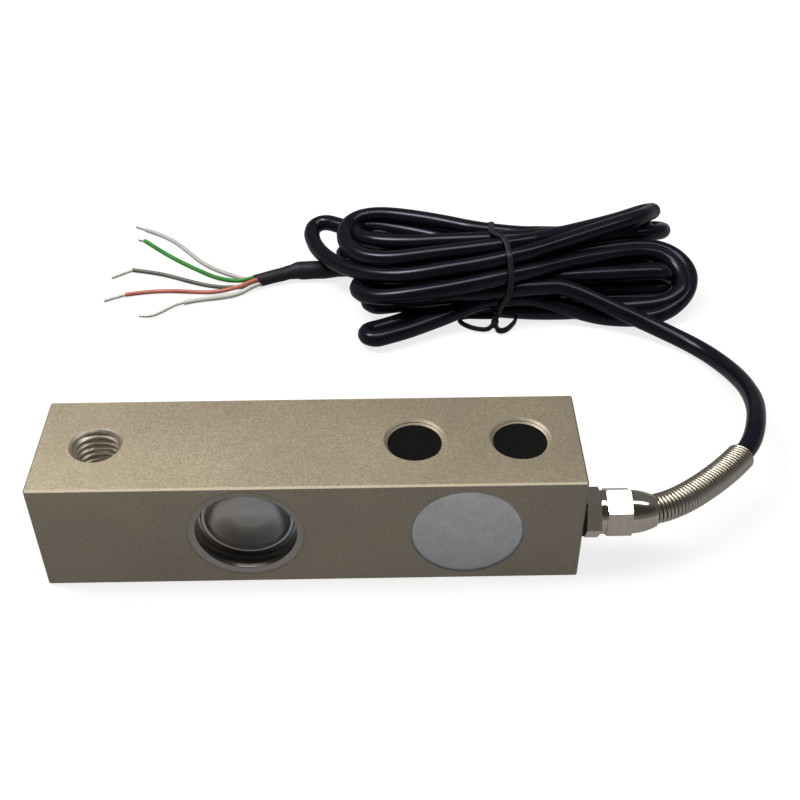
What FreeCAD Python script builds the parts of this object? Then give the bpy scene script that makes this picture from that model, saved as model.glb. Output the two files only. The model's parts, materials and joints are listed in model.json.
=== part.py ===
"""Shear beam load cell with its cable gland, strain relief spring and tied hank of cable.

Millimetres. The origin is the centre of the beam's underside, X runs along the beam to the cable end,
-Y is the side with the wiring cover, and +Z is up, the way the load hole opens.
"""
import FreeCAD, Part
import math
import os

# Beam
beam_length = 130.0
beam_width = 31.8
beam_height = 31.8
beam_edge_break = 0.4

# Load hole near the free end and two mounting holes near the cable end
load_hole_from_end = 14.0
load_thread_diameter = 12.0
load_hole_chamfer = 0.5
mounting_hole_from_end = 14.4
mounting_spacing = 25.4
mounting_hole_diameter = 13.0
mounting_hole_chamfer = 1.0
mounting_hole_step = 0.2

# Gauge pockets, one in each side of the beam, with the shear web between them
gauge_pocket_shift = -2.3
gauge_pocket_rise = 0.8
gauge_cavity_diameter = 20.6
gauge_ledge = 1.6
gauge_cone_width = 2.1
gauge_cone_depth = 1.05
cup_seat_depth = 5.4
shear_web = 4.0

# Pressed sealing cup that sits on the ledge of a gauge pocket
cup_sheet = 0.5
cup_clearance = 0.05
cup_flange_width = 0.45
cup_bead_width = 1.4
cup_bead_height = 0.55
cup_lip_width = 0.4
cup_lip_drop = 0.45
cup_dish_depth = 2.3
cup_dish_width = 5.0

# Wiring pocket in the front side and its cover
wiring_pocket_shift = -0.5
cover_diameter = 26.8
cover_thickness = 1.2
cover_recess = 0.35
cover_gap = 0.3
cover_edge_break = 0.25
cover_seat_width = 2.2
wiring_floor_wall = 1.05

# Cable, and the cores inside it
cable_diameter = 5.2
core_diameter = 1.45
jacket_inside_thread = 1.0

# Gland in the cable end: walls outwards from the cable, lengths along X
cable_clearance = 0.1
gland_thread_wall = 2.4
gland_thread_length = 6.0
gland_thread_runout = 1.0
gland_thread_clearance = 0.05
seal_washer_thickness = 1.0
seal_washer_margin = 0.3
gland_hex_length = 3.5
gland_collar_length = 1.5
gland_collar_inset = 0.2
gland_groove_width = 0.3
gland_groove_depth = 0.6
gland_neck_wall = 0.65
gland_neck_length = 4.6
grommet_wall = 1.0
grommet_length = 5.0
grommet_stand_out = 1.2
grommet_clearance = 0.05
thrust_ring_thickness = 1.0
thrust_ring_clearance = 0.1
nut_wall = 1.15
nut_length = 6.0
nut_turn = 40.0
hex_corner_break = 0.35
dome_length = 6.5
dome_shoulder = 0.2
dome_crown = 0.4

# Close-wound strain relief spring, bent along the cable's first turn
spring_wire = 0.95
spring_clearance = 0.15
spring_turns = 36
spring_groove_depth = 0.36
spring_first_bend_radius = 7.0
spring_first_bend = 30.0
spring_second_bend = 18.0
spring_dip = 3.0

# Parts in the wiring pocket
wireway_wall = 1.02
wireway_clearance = 0.33
board_thickness = 0.5
board_clearance = 0.6
terminal_block_length = 5.0
terminal_block_width = 8.0
terminal_block_margin = 0.5
terminal_block_edge = 0.4
resistor_count = 3
resistor_length = 3.2
resistor_width = 1.6
resistor_height = 0.6
resistor_spacing = 5.0
resistor_inset = 4.0

# Gauges on the shear web and the fine wires of the bridge
gauge_size = 9.0
gauge_corner = 1.0
gauge_thickness = 0.15
solder_tab_length = 7.0
solder_tab_width = 2.2
solder_tab_thickness = 0.3
solder_tab_gap = 1.3
bridge_wire_count = 4
bridge_wire_diameter = 0.5
bridge_wire_pitch = 0.62
bridge_wire_bend = 1.6
bridge_way_clearance = 0.3
bridge_cup_gap = 1.2
link_hole_diameter = 1.8
link_hole_gap = 0.2
link_wire_count = 2
link_wire_pitch = 0.8
link_wire_arch = 1.1
link_wire_bend = 0.45
link_wire_inset = 0.8

# Shrink sleeve over the cable's far end and what comes out of its mouth
sleeve_wall = 0.45
sleeve_over_jacket = 12.0
sleeve_shoulder = 4.0
sleeve_over_cores = 11.0
sleeve_mouth_radius = 2.15
sleeve_direction = (-0.94, -0.335, -0.055)
core_ring_radius = 1.3
core_first_run = 3.0
core_tip_diameter = 0.9
shield_sleeve_diameter = 1.6
shield_diameter = 0.9

# Hank of cable: place along X, middle in Y and Z, half depth in Y and half height in Z
hank_waist = (54.4, 102.0, 13.4, 14.8, 12.4)
hank_sections = [
    (-7.8, 125.0, 11.2, 4.0, 2.0),
    (-3.5, 122.5, 11.2, 10.0, 4.6),
    (5.0, 114.5, 10.8, 15.0, 8.0),
    (15.0, 107.0, 11.2, 19.0, 10.2),
    (30.0, 103.0, 12.2, 19.0, 11.2),
    hank_waist,
    (80.0, 104.0, 13.2, 17.0, 12.2),
    (97.0, 108.0, 12.4, 21.0, 11.4),
    (107.0, 109.0, 9.6, 20.5, 8.0),
    (113.0, 105.5, 8.8, 15.5, 6.0),
    (117.0, 103.0, 8.4, 8.5, 3.4),
]

# Wire tie round the hank's waist, with a loop and a twisted end in front of it
tie_width = 1.8
tie_thickness = 1.0
tie_wire_diameter = 1.5
tie_bend = 1.4
tie_loop_points = [
    (54.0, 91.9, 3.8), (51.6, 85.6, 1.4), (45.2, 84.9, 1.0), (42.8, 90.4, 1.0), (53.4, 91.6, 1.6),
]
tie_end_points = [(54.8, 91.9, 3.6), (56.4, 85.0, 1.4), (60.4, 86.6, 1.0), (60.9, 90.8, 1.2)]

# Route of the cable from the spring's end to the hank, after a first run straight on
lead_first_run = 4.0
lead_points = [
    (117.1, 24.0, 14.3),
    (120.3, 36.1, 11.3),
    (120.9, 48.9, 7.7),
    (118.8, 61.2, 4.4),
    (113.2, 72.5, 2.7),
    (101.0, 83.2, 2.7),
    (90.3, 89.4, 4.4),
    (73.8, 94.0, 11.3),
]

# Route of the cable's far end out of the hank, to where its jacket ends
tail_points = [(34.0, 109.5, 7.5), (22.0, 114.2, 5.2), (9.0, 116.9, 3.4), (-9.3, 116.5, 3.1)]

# Cores on the table: angle in the sleeve's mouth, from the far side upwards, and the route from there
core_routes = {
    "white_core": (-18, [
        (-29.5, 114.2, 1.2), (-37.0, 119.2, 0.85), (-44.0, 125.0, 0.75),
        (-52.0, 133.0, 0.75), (-59.0, 139.9, 0.75), (-65.0, 145.9, 0.75),
    ]),
    "green_core": (54, [
        (-29.5, 111.9, 2.1), (-37.0, 115.8, 0.85), (-44.0, 121.0, 0.75),
        (-52.0, 127.4, 0.75), (-58.8, 133.8, 0.75), (-64.6, 139.8, 0.75),
    ]),
    "black_core": (-90, [
        (-29.5, 110.3, 0.8), (-37.0, 110.9, 0.75), (-44.5, 113.6, 0.75),
        (-52.0, 117.3, 0.75), (-58.5, 119.9, 0.75), (-66.0, 121.6, 0.75),
    ]),
    "red_core": (126, [
        (-29.5, 108.6, 2.1), (-37.0, 107.6, 0.85), (-44.0, 108.3, 0.75),
        (-52.5, 109.1, 0.75), (-60.0, 108.6, 0.75), (-66.1, 107.2, 0.75),
    ]),
    "shield_sleeve": (198, [
        (-29.0, 106.4, 0.9), (-35.0, 104.6, 0.9), (-41.5, 103.7, 0.9), (-48.4, 101.4, 0.9),
    ]),
}
core_tip_ends = {
    "white_core": (-68.9, 149.4, 0.5),
    "green_core": (-66.9, 140.8, 0.5),
    "black_core": (-72.3, 117.4, 0.5),
    "red_core": (-72.6, 104.2, 0.5),
}
shield_first_run = 2.5
shield_points = [(-53.4, 97.0, 0.6), (-56.6, 94.9, 0.6), (-59.8, 95.6, 0.6)]

# Places and radii worked out from the sizes
end_x = beam_length / 2
side_y = beam_width / 2
middle_z = beam_height / 2
load_x = -end_x + load_hole_from_end
mounting_x = [end_x - mounting_hole_from_end - mounting_spacing, end_x - mounting_hole_from_end]
gauge_x = (load_x + mounting_x[0]) / 2 + gauge_pocket_shift
gauge_z = middle_z + gauge_pocket_rise
wiring_x = sum(mounting_x) / 2 + wiring_pocket_shift
web_y = shear_web / 2
cavity_radius = gauge_cavity_diameter / 2
gauge_bore_radius = cavity_radius + gauge_ledge
cover_radius = cover_diameter / 2
cover_seat_depth = cover_recess + cover_thickness
wiring_radius = cover_radius - cover_seat_width
wiring_floor_y = -mounting_hole_diameter / 2 - wiring_floor_wall
board_top_y = wiring_floor_y - board_thickness
board_radius = wiring_radius - board_clearance
cable_radius = cable_diameter / 2
core_radius = core_diameter / 2
wireway_radius = core_radius * (1 + math.sqrt(2)) + wireway_clearance
gland_y = -mounting_hole_diameter / 2 - wireway_wall - wireway_radius
bore_radius = cable_radius + cable_clearance
thread_radius = bore_radius + gland_thread_wall
grommet_radius = cable_radius + grommet_wall
grommet_pocket_radius = grommet_radius + grommet_clearance
neck_radius = grommet_pocket_radius + gland_neck_wall
nut_bore_radius = neck_radius + gland_thread_clearance
flat_radius = nut_bore_radius + nut_wall
collar_radius = flat_radius - gland_collar_inset
spring_inner_radius = cable_radius + spring_clearance
spring_radius = spring_inner_radius + spring_wire
jacket_end_x = end_x - gland_thread_length + jacket_inside_thread
hex_x = end_x + seal_washer_thickness
collar_x = hex_x + gland_hex_length
nut_x = collar_x + gland_collar_length
neck_end_x = nut_x + gland_neck_length
grommet_end_x = neck_end_x + grommet_stand_out
grommet_x = grommet_end_x - grommet_length
thrust_end_x = grommet_end_x + thrust_ring_thickness
dome_x = nut_x + nut_length
dome_end_x = dome_x + dome_length
tab_x = gauge_x + gauge_size / 2 + solder_tab_gap + solder_tab_width / 2
tab_face_y = web_y + solder_tab_thickness
link_z = gauge_z - solder_tab_length / 2 - link_hole_gap - link_hole_diameter / 2
bridge_z = (middle_z + gauge_z) / 2
bridge_row = (bridge_wire_count - 1) * bridge_wire_pitch + bridge_wire_diameter
bridge_way_radius = bridge_row / 2 + bridge_way_clearance
bridge_bend_x = wiring_x - wiring_radius + bridge_way_radius
bridge_end_y = -side_y + cup_seat_depth + cup_dish_depth + bridge_cup_gap
X = FreeCAD.Vector(1, 0, 0)
Y = FreeCAD.Vector(0, 1, 0)
Z = FreeCAD.Vector(0, 0, 1)


def revolve(outline, centre, axis):
    """Turn a closed outline of (radius, distance along the axis) points through a full circle.

    A point of four numbers is the end of an arc, with the arc's middle point first.
    """
    centre = FreeCAD.Vector(*centre)
    out = X if axis.isEqual(Z, 0) else Z

    def place(radius, distance):
        return centre + out * radius + axis * distance

    here = place(*outline[0])
    edges = []
    for point in outline[1:] + outline[:1]:
        there = place(*point[-2:])
        if len(point) == 4:
            edges.append(Part.Arc(here, place(*point[:2]), there).toShape())
        else:
            edges.append(Part.LineSegment(here, there).toShape())
        here = there
    return Part.Face(Part.Wire(edges)).revolve(centre, axis, 360)


def bar(radius, start, length, axis):
    return Part.makeCylinder(radius, length, FreeCAD.Vector(*start), axis)


def rounded_path(points, bend_radius=None):
    """Straight runs joined by tangent arcs; with no radius each arc is as large as its runs allow."""
    corners = [FreeCAD.Vector(*point) for point in points]
    here = corners[0]
    edges = []
    radii = []
    for before, corner, after in zip(corners, corners[1:], corners[2:]):
        back = before - corner
        ahead = after - corner
        half_turn = (math.pi - back.getAngle(ahead)) / 2
        shorter = min(back.Length, ahead.Length)
        radius = bend_radius or 0.45 * shorter / math.tan(half_turn)
        reach = radius * math.tan(half_turn)
        back.normalize()
        ahead.normalize()
        inwards = (back + ahead).normalize()
        middle = corner + inwards * radius * (1 / math.cos(half_turn) - 1)
        edges.append(Part.LineSegment(here, corner + back * reach).toShape())
        here = corner + ahead * reach
        edges.append(Part.Arc(corner + back * reach, middle, here).toShape())
        radii.append(radius)
    edges.append(Part.LineSegment(here, corners[-1]).toShape())
    return Part.Wire(edges), radii


def tube_along(path, radius):
    """A round bar carried along a path of lines and arcs."""
    first = path.Edges[0]
    start = first.valueAt(first.FirstParameter)
    circle = Part.Circle(start, first.tangentAt(first.FirstParameter), radius)
    return path.makePipeShell([Part.Wire(circle.toShape())], True, False)


def cord_along(name, points, diameter):
    """A tube along a route of points; prints its length, bend radii and volume over section times length."""
    path, radii = rounded_path(points)
    tube = tube_along(path, diameter / 2)
    share = tube.Volume / (math.pi * diameter ** 2 / 4 * path.Length)
    bends = [round(radius, 1) for radius in radii]
    print(f"{name}: {path.Length:.1f} mm, volume share {share:.4f}, radii {bends}")
    return tube


def largest(shape):
    return max(shape.Solids, key=lambda solid: solid.Volume)


def tapped_hole(x, diameter, chamfer):
    radius = diameter / 2
    outline = [(0, 0), (radius + chamfer, 0), (radius, chamfer), (radius, beam_height - chamfer),
               (radius + chamfer, beam_height), (0, beam_height)]
    return revolve(outline, (x, 0, 0), Z)


def bolt_hole(x):
    """A through hole whose chamfer is cut in two passes, with a short upright step between them."""
    radius = mounting_hole_diameter / 2
    middle = radius + mounting_hole_chamfer / 2
    first = mounting_hole_chamfer / 2
    second = first + mounting_hole_step
    bore = second + mounting_hole_chamfer / 2
    rim = [(radius + mounting_hole_chamfer, 0), (middle, first), (middle, second), (radius, bore)]
    top = [(out, beam_height - down) for out, down in reversed(rim)]
    return revolve([(0, 0)] + rim + top + [(0, beam_height)], (x, 0, 0), Z)


def gauge_pocket(side):
    """Cone, bore, ledge and cavity of the pocket in the front (-1) or rear (1) side."""
    depth = side_y - web_y
    outline = [(0, 0), (gauge_bore_radius + gauge_cone_width, 0), (gauge_bore_radius, gauge_cone_depth),
               (gauge_bore_radius, cup_seat_depth), (cavity_radius, cup_seat_depth),
               (cavity_radius, depth), (0, depth)]
    return revolve(outline, (gauge_x, side * side_y, gauge_z), Y * -side)


def wiring_pocket():
    rim = cover_radius + cover_gap
    depth = wiring_floor_y + side_y
    outline = [(0, 0), (rim, 0), (rim, cover_seat_depth), (wiring_radius, cover_seat_depth),
               (wiring_radius, depth), (0, depth)]
    return revolve(outline, (wiring_x, -side_y, middle_z), Y)


def bridge_way():
    """The slanted drilling from the wiring pocket into the front gauge cavity."""
    start = FreeCAD.Vector(bridge_bend_x, gland_y, bridge_z)
    run = FreeCAD.Vector(tab_x, bridge_end_y, bridge_z) - start
    return Part.makeCylinder(bridge_way_radius, run.Length, start, run)


def make_beam():
    block = Part.makeBox(beam_length, beam_width, beam_height, FreeCAD.Vector(-end_x, -side_y, 0))
    block = block.makeChamfer(beam_edge_break, block.Edges)
    tapped_depth = gland_thread_length + gland_thread_runout
    cuts = [tapped_hole(load_x, load_thread_diameter, load_hole_chamfer)]
    cuts += [bolt_hole(x) for x in mounting_x]
    cuts += [gauge_pocket(-1), gauge_pocket(1), wiring_pocket(), bridge_way()]
    cuts.append(bar(link_hole_diameter / 2, (tab_x, -web_y, link_z), shear_web, Y))
    cuts.append(bar(thread_radius, (end_x - tapped_depth, gland_y, middle_z), tapped_depth, X))
    cuts.append(bar(wireway_radius, (wiring_x, gland_y, middle_z), end_x - wiring_x - tapped_depth, X))
    return block.cut(cuts)


def sealing_cup(side):
    """Pressed cup: flange on the ledge, rolled bead, lip and a dished floor, all of one sheet.

    The dish is an arc that runs out level into the floor.
    """
    top = cup_seat_depth - cup_sheet
    rim = gauge_bore_radius - cup_clearance
    bead_out = rim - cup_flange_width
    bead_in = bead_out - cup_bead_width
    lip = bead_in - cup_lip_width
    lip_top = top + cup_lip_drop
    floor = top + cup_dish_depth
    dish = lip - cup_dish_width
    skirt = cavity_radius - cup_clearance
    fall = floor - lip_top
    dish_radius = (cup_dish_width ** 2 + fall ** 2) / (2 * fall)
    half_turn = math.asin(cup_dish_width / dish_radius) / 2
    across = dish_radius * math.sin(half_turn)
    rise = dish_radius * (1 - math.cos(half_turn))
    outline = [(0, floor), (dish, floor), (dish + across, floor - rise, lip, lip_top), (bead_in, top),
               (bead_in + cup_bead_width / 2, top - cup_bead_height, bead_out, top),
               (rim, top), (rim, cup_seat_depth), (skirt, cup_seat_depth),
               (dish + across, floor + cup_sheet - rise, dish, floor + cup_sheet), (0, floor + cup_sheet)]
    return revolve(outline, (gauge_x, side * side_y, gauge_z), Y * -side)


def wiring_cover():
    edge = cover_edge_break
    outline = [(0, cover_recess), (cover_radius - edge, cover_recess), (cover_radius, cover_recess + edge),
               (cover_radius, cover_seat_depth), (0, cover_seat_depth)]
    return revolve(outline, (wiring_x, -side_y, middle_z), Y)


def strain_gauge(side):
    """A thin foil carrier with rounded corners on one face of the shear web."""
    half = gauge_size / 2
    y = min(side * web_y, side * (web_y + gauge_thickness))
    corner = FreeCAD.Vector(gauge_x - half, y, gauge_z - half)
    foil = Part.makeBox(gauge_size, gauge_thickness, gauge_size, corner)
    boxes = [(edge, edge.BoundBox) for edge in foil.Edges]
    upright = [edge for edge, box in boxes if box.YLength > box.XLength + box.ZLength]
    return foil.makeFillet(gauge_corner, upright)


def solder_tab(side):
    y = min(side * web_y, side * tab_face_y)
    corner = FreeCAD.Vector(tab_x - solder_tab_width / 2, y, gauge_z - solder_tab_length / 2)
    return Part.makeBox(solder_tab_width, solder_tab_thickness, solder_tab_length, corner)


def bridge_wires():
    """Fine wires from the terminal block down the slanted drilling to the front solder tab."""
    wires = []
    for count in range(bridge_wire_count):
        z = bridge_z + (count - (bridge_wire_count - 1) / 2) * bridge_wire_pitch
        route = [(wiring_x - terminal_block_length / 2, gland_y, z), (bridge_bend_x, gland_y, z),
                 (tab_x, bridge_end_y, z), (tab_x, -tab_face_y, z)]
        wires.append(tube_along(rounded_path(route, bridge_wire_bend)[0], bridge_wire_diameter / 2))
    return Part.makeCompound(wires)


def link_wires():
    """Staple-shaped wires through the web, from the front solder tab to the rear one."""
    wires = []
    tab_z = gauge_z - solder_tab_length / 2 + link_wire_inset
    arch_y = tab_face_y + link_wire_arch
    for count in range(link_wire_count):
        x = tab_x + (count - (link_wire_count - 1) / 2) * link_wire_pitch
        route = [(x, -tab_face_y, tab_z), (x, -arch_y, tab_z), (x, -arch_y, link_z), (x, arch_y, link_z),
                 (x, arch_y, tab_z), (x, tab_face_y, tab_z)]
        wires.append(tube_along(rounded_path(route, link_wire_bend)[0], bridge_wire_diameter / 2))
    return Part.makeCompound(wires)


def terminal_board():
    return bar(board_radius, (wiring_x, board_top_y, middle_z), board_thickness, Y)


def terminal_block():
    front_y = gland_y - core_diameter - terminal_block_margin
    left_x = wiring_x - terminal_block_length / 2
    corner = FreeCAD.Vector(left_x, front_y, middle_z - terminal_block_width / 2)
    block = Part.makeBox(terminal_block_length, board_top_y - front_y, terminal_block_width, corner)
    front_edges = [edge for edge in block.Edges if edge.BoundBox.YMax < front_y + terminal_block_edge / 2]
    return block.makeChamfer(terminal_block_edge, front_edges)


def trim_resistors():
    chips = []
    z = middle_z + board_radius - resistor_inset - resistor_width / 2
    for count in range(resistor_count):
        x = wiring_x + (count - (resistor_count - 1) / 2) * resistor_spacing - resistor_length / 2
        corner = FreeCAD.Vector(x, board_top_y - resistor_height, z)
        chips.append(Part.makeBox(resistor_length, resistor_height, resistor_width, corner))
    return Part.makeCompound(chips)


def inner_cores():
    """The stripped cores from the jacket's end to the terminal block."""
    start_x = wiring_x + terminal_block_length / 2
    cores = []
    for across in (-core_radius, core_radius):
        for up in (-core_radius, core_radius):
            start = (start_x, gland_y + across, middle_z + up)
            cores.append(bar(core_radius, start, jacket_end_x - start_x, X))
    return Part.makeCompound(cores)


def hexagon(x, length, turn):
    """A hexagon bar along the gland's axis with its end corners turned down."""
    corner_radius = flat_radius / math.cos(math.pi / 6)
    angles = [math.radians(turn + 60 * count) for count in range(7)]
    ring = [(corner_radius * math.cos(angle), corner_radius * math.sin(angle)) for angle in angles]
    corners = [FreeCAD.Vector(x, gland_y - across, middle_z + up) for across, up in ring]
    prism = Part.Face(Part.makePolygon(corners)).extrude(X * length)
    slope = hex_corner_break / math.sqrt(3)
    end_radius = corner_radius - hex_corner_break
    barrel = [(0, 0), (end_radius, 0), (corner_radius, slope), (corner_radius, length - slope),
              (end_radius, length), (0, length)]
    return prism.common(revolve(barrel, (x, gland_y, middle_z), X))


def on_gland(outline):
    """A solid of revolution on the gland's axis, with distances given as places along X."""
    return revolve(outline, (0, gland_y, middle_z), X)


def gland_body():
    thread = thread_radius - gland_thread_clearance
    thread_x = end_x - gland_thread_length
    groove = collar_radius - gland_groove_depth
    first = collar_x + gland_groove_width
    second = nut_x - gland_groove_width
    turned = [(bore_radius, thread_x), (thread, thread_x), (thread, collar_x), (groove, collar_x),
              (groove, first), (collar_radius, first), (collar_radius, second), (groove, second),
              (groove, nut_x), (neck_radius, nut_x), (neck_radius, neck_end_x),
              (grommet_pocket_radius, neck_end_x), (grommet_pocket_radius, grommet_x), (bore_radius, grommet_x)]
    bore = bar(bore_radius, (hex_x, gland_y, middle_z), gland_hex_length, X)
    return on_gland(turned).fuse(hexagon(hex_x, gland_hex_length, 0).cut(bore)).removeSplitter()


def gland_seal_washer():
    inner = thread_radius
    outer = flat_radius + seal_washer_margin
    return on_gland([(inner, end_x), (outer, end_x), (outer, hex_x), (inner, hex_x)])


def gland_grommet():
    return on_gland([(cable_radius, grommet_x), (grommet_radius, grommet_x), (grommet_radius, grommet_end_x),
                     (cable_radius, grommet_end_x)])


def gland_thrust_ring():
    outer = nut_bore_radius - thrust_ring_clearance
    return on_gland([(bore_radius, grommet_end_x), (outer, grommet_end_x), (outer, thrust_end_x),
                     (bore_radius, thrust_end_x)])


def gland_nut():
    """Hexagon nut that runs out into a dome, as wide at its end as the spring."""
    dome_radius = flat_radius - dome_shoulder
    crown = ((dome_radius + spring_radius) / 2 + dome_crown, (dome_x + dome_end_x) / 2)
    dome = on_gland([(0, dome_x), (dome_radius, dome_x), crown + (spring_radius, dome_end_x),
                     (0, dome_end_x)])
    bore = on_gland([(0, nut_x), (nut_bore_radius, nut_x), (nut_bore_radius, thrust_end_x),
                     (spring_inner_radius, thrust_end_x), (spring_inner_radius, dome_end_x), (0, dome_end_x)])
    return hexagon(nut_x, nut_length, nut_turn).fuse(dome).cut(bore)


def spring_place(distance):
    """Where the spring's axis is at a distance from the gland, with X along it.

    The axis is two arcs, the second wider, in a plane that dips away from the gland.
    """
    first_turn = math.radians(spring_first_bend)
    first_length = spring_first_bend_radius * first_turn
    wide_radius = (spring_turns * spring_wire - first_length) / math.radians(spring_second_bend)
    point = FreeCAD.Vector()
    heading = 0.0
    for radius, length in ((spring_first_bend_radius, min(distance, first_length)),
                           (wide_radius, max(distance - first_length, 0.0))):
        turned = heading + length / radius
        along = math.sin(turned) - math.sin(heading)
        across = math.cos(heading) - math.cos(turned)
        point += FreeCAD.Vector(along, across, 0) * radius
        heading = turned
    gland_end = FreeCAD.Vector(dome_end_x, gland_y, middle_z)
    plane = FreeCAD.Placement(gland_end, FreeCAD.Rotation(X, -spring_dip))
    return plane.multiply(FreeCAD.Placement(point, FreeCAD.Rotation(Z, math.degrees(heading))))


def spring_path():
    first_length = spring_first_bend_radius * math.radians(spring_first_bend)
    full_length = spring_turns * spring_wire
    arcs = []
    for start, end in ((0.0, first_length), (first_length, full_length)):
        points = [spring_place(distance).Base for distance in (start, (start + end) / 2, end)]
        arcs.append(Part.Arc(*points).toShape())
    return arcs


def strain_relief_spring():
    """Ridges and grooves of the close turns: circles of two radii on the bent axis, joined by ruled bands."""
    rings = []
    for count in range(2 * spring_turns + 1):
        radius = spring_radius - (spring_groove_depth if count % 2 == 0 else 0.0)
        ring = Part.Wire(Part.Circle(FreeCAD.Vector(), X, radius).toShape())
        ring.Placement = spring_place(count * spring_wire / 2)
        rings.append(ring)
    coil = Part.makeLoft(rings, True, True)
    return coil.cut(tube_along(Part.Wire(spring_path()), spring_inner_radius))


def cable_in_gland():
    start = FreeCAD.Vector(jacket_end_x, gland_y, middle_z)
    straight = Part.LineSegment(start, FreeCAD.Vector(dome_end_x, gland_y, middle_z)).toShape()
    return tube_along(Part.Wire([straight] + spring_path()), cable_radius)


def cable_hank():
    """The outer shape of the tied turns: one smooth skin through oval sections, waisted at the tie."""
    ovals = []
    upright = FreeCAD.Rotation(Y, Z, X, "XYZ")
    for x, y, z, half_depth, half_height in hank_sections:
        oval = Part.Wire(Part.Ellipse(FreeCAD.Vector(), half_depth, half_height).toShape())
        oval.Placement = FreeCAD.Placement(FreeCAD.Vector(x, y, z), upright)
        ovals.append(oval)
    return Part.makeLoft(ovals, True, False)


def hank_tie(hank):
    """A wire band round the waist, a loop and a twisted end, lying against the hank."""
    x, y, z, half_depth, half_height = hank_waist
    oval = Part.Ellipse(FreeCAD.Vector(), half_depth + tie_thickness, half_height + tie_thickness)
    band = Part.Face(Part.Wire(oval.toShape())).extrude(Z * tie_width)
    place = FreeCAD.Vector(x - tie_width / 2, y, z)
    band.Placement = FreeCAD.Placement(place, FreeCAD.Rotation(Y, Z, X, "XYZ"))
    ears = [tube_along(rounded_path(points, tie_bend)[0], tie_wire_diameter / 2)
            for points in (tie_loop_points, tie_end_points)]
    return largest(band.fuse(ears).cut(hank))


def cable_lead(hank):
    end = spring_place(spring_turns * spring_wire)
    straight_on = end.multVec(X * lead_first_run)
    return largest(cord_along("cable_lead", [end.Base, straight_on] + lead_points, cable_diameter).cut(hank))


def cable_tail(hank):
    return largest(cord_along("cable_tail", tail_points, cable_diameter).cut(hank))


def sleeve_frame():
    """The jacket's end, the heading of the cable there and the heading of the sleeve beyond it."""
    before, end = (FreeCAD.Vector(*point) for point in tail_points[-2:])
    return end, (end - before).normalize(), FreeCAD.Vector(*sleeve_direction).normalize()


def shrink_sleeve(hank, tail):
    """Shrunk tube: wide over the jacket, a shoulder, then narrow over the cores."""
    end, heading, beyond = sleeve_frame()
    wide = cable_radius + sleeve_wall
    places = [(end - heading * sleeve_over_jacket, heading, wide), (end, heading, wide),
              (end + beyond * sleeve_shoulder, beyond, sleeve_mouth_radius),
              (end + beyond * (sleeve_shoulder + sleeve_over_cores), beyond, sleeve_mouth_radius)]
    rings = []
    for point, direction, radius in places:
        ring = Part.Wire(Part.Circle(FreeCAD.Vector(), Z, radius).toShape())
        ring.Placement = FreeCAD.Placement(point, FreeCAD.Rotation(Y, Z, direction, "ZXY"))
        rings.append(ring)
    return largest(Part.makeLoft(rings, True, True).cut([tail, hank]))


def core_route(name):
    """The route of a core: out of the sleeve's mouth, straight on, then along its points."""
    end, heading, beyond = sleeve_frame()
    angle, points = core_routes[name]
    far_side = beyond.cross(Z).normalize()
    up = far_side.cross(beyond)
    turn = math.radians(angle)
    mouth = end + beyond * (sleeve_shoulder + sleeve_over_cores)
    start = mouth + (far_side * math.cos(turn) + up * math.sin(turn)) * core_ring_radius
    return [start, start + beyond * core_first_run] + [FreeCAD.Vector(*point) for point in points]


def shield_route():
    """The bare shield runs straight on out of its sleeve, then along its points."""
    before, end = core_route("shield_sleeve")[-2:]
    return [end, end + (end - before).normalize() * shield_first_run] + shield_points


def tinned_core_ends():
    """The bare end of each core, from the end of its insulation to its tip."""
    ends = []
    for name, tip in core_tip_ends.items():
        start = core_route(name)[-1]
        run = FreeCAD.Vector(*tip) - start
        bare = Part.makeCylinder(core_tip_diameter / 2, run.Length, start, run)
        ends.append(largest(bare.cut(nodes[name])))
    return Part.makeCompound(ends)


nodes = {
    "beam_body": make_beam(),
    "front_sealing_cup": sealing_cup(-1),
    "rear_sealing_cup": sealing_cup(1),
    "front_strain_gauge": strain_gauge(-1),
    "rear_strain_gauge": strain_gauge(1),
    "front_solder_tab": solder_tab(-1),
    "rear_solder_tab": solder_tab(1),
    "bridge_wires": bridge_wires(),
    "web_link_wires": link_wires(),
    "wiring_cover": wiring_cover(),
    "terminal_board": terminal_board(),
    "terminal_block": terminal_block(),
    "trim_resistors": trim_resistors(),
    "inner_cores": inner_cores(),
    "gland_body": gland_body(),
    "gland_seal_washer": gland_seal_washer(),
    "gland_grommet": gland_grommet(),
    "gland_thrust_ring": gland_thrust_ring(),
    "gland_nut": gland_nut(),
    "strain_relief_spring": strain_relief_spring(),
    "cable_in_gland": cable_in_gland(),
    "cable_hank": cable_hank(),
}
nodes["hank_tie"] = hank_tie(nodes["cable_hank"])
nodes["cable_lead"] = cable_lead(nodes["cable_hank"])
nodes["cable_tail"] = cable_tail(nodes["cable_hank"])
nodes["shrink_sleeve"] = shrink_sleeve(nodes["cable_hank"], nodes["cable_tail"])
for core_name in core_routes:
    width = shield_sleeve_diameter if core_name == "shield_sleeve" else core_diameter
    nodes[core_name] = cord_along(core_name, core_route(core_name), width)
nodes["tinned_core_ends"] = tinned_core_ends()
nodes["shield_end"] = cord_along("shield_end", shield_route(), shield_diameter)

os.makedirs("parts", exist_ok=True)
for name, shape in nodes.items():
    shape.exportStep(f"parts/{name}.step")
    print(f"{name}: solids {len(shape.Solids)}, valid {shape.isValid()}, volume {shape.Volume:.1f} mm3")
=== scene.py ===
# %% [markdown]
# # A shear beam load cell and its hank of cable
# The CAD frame gives every rigid piece its place. This lesson dresses that frame: it adds the pieces
# that bend or twist, such as the cable, its spring and its tie, and then gives each surface its finish.
# Lengths are written in millimetres, as on the drawing, and turn into metres when a mesh is made.

# %% Load the frame
import json

import bpy
import numpy as np
from mathutils import Matrix


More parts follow.
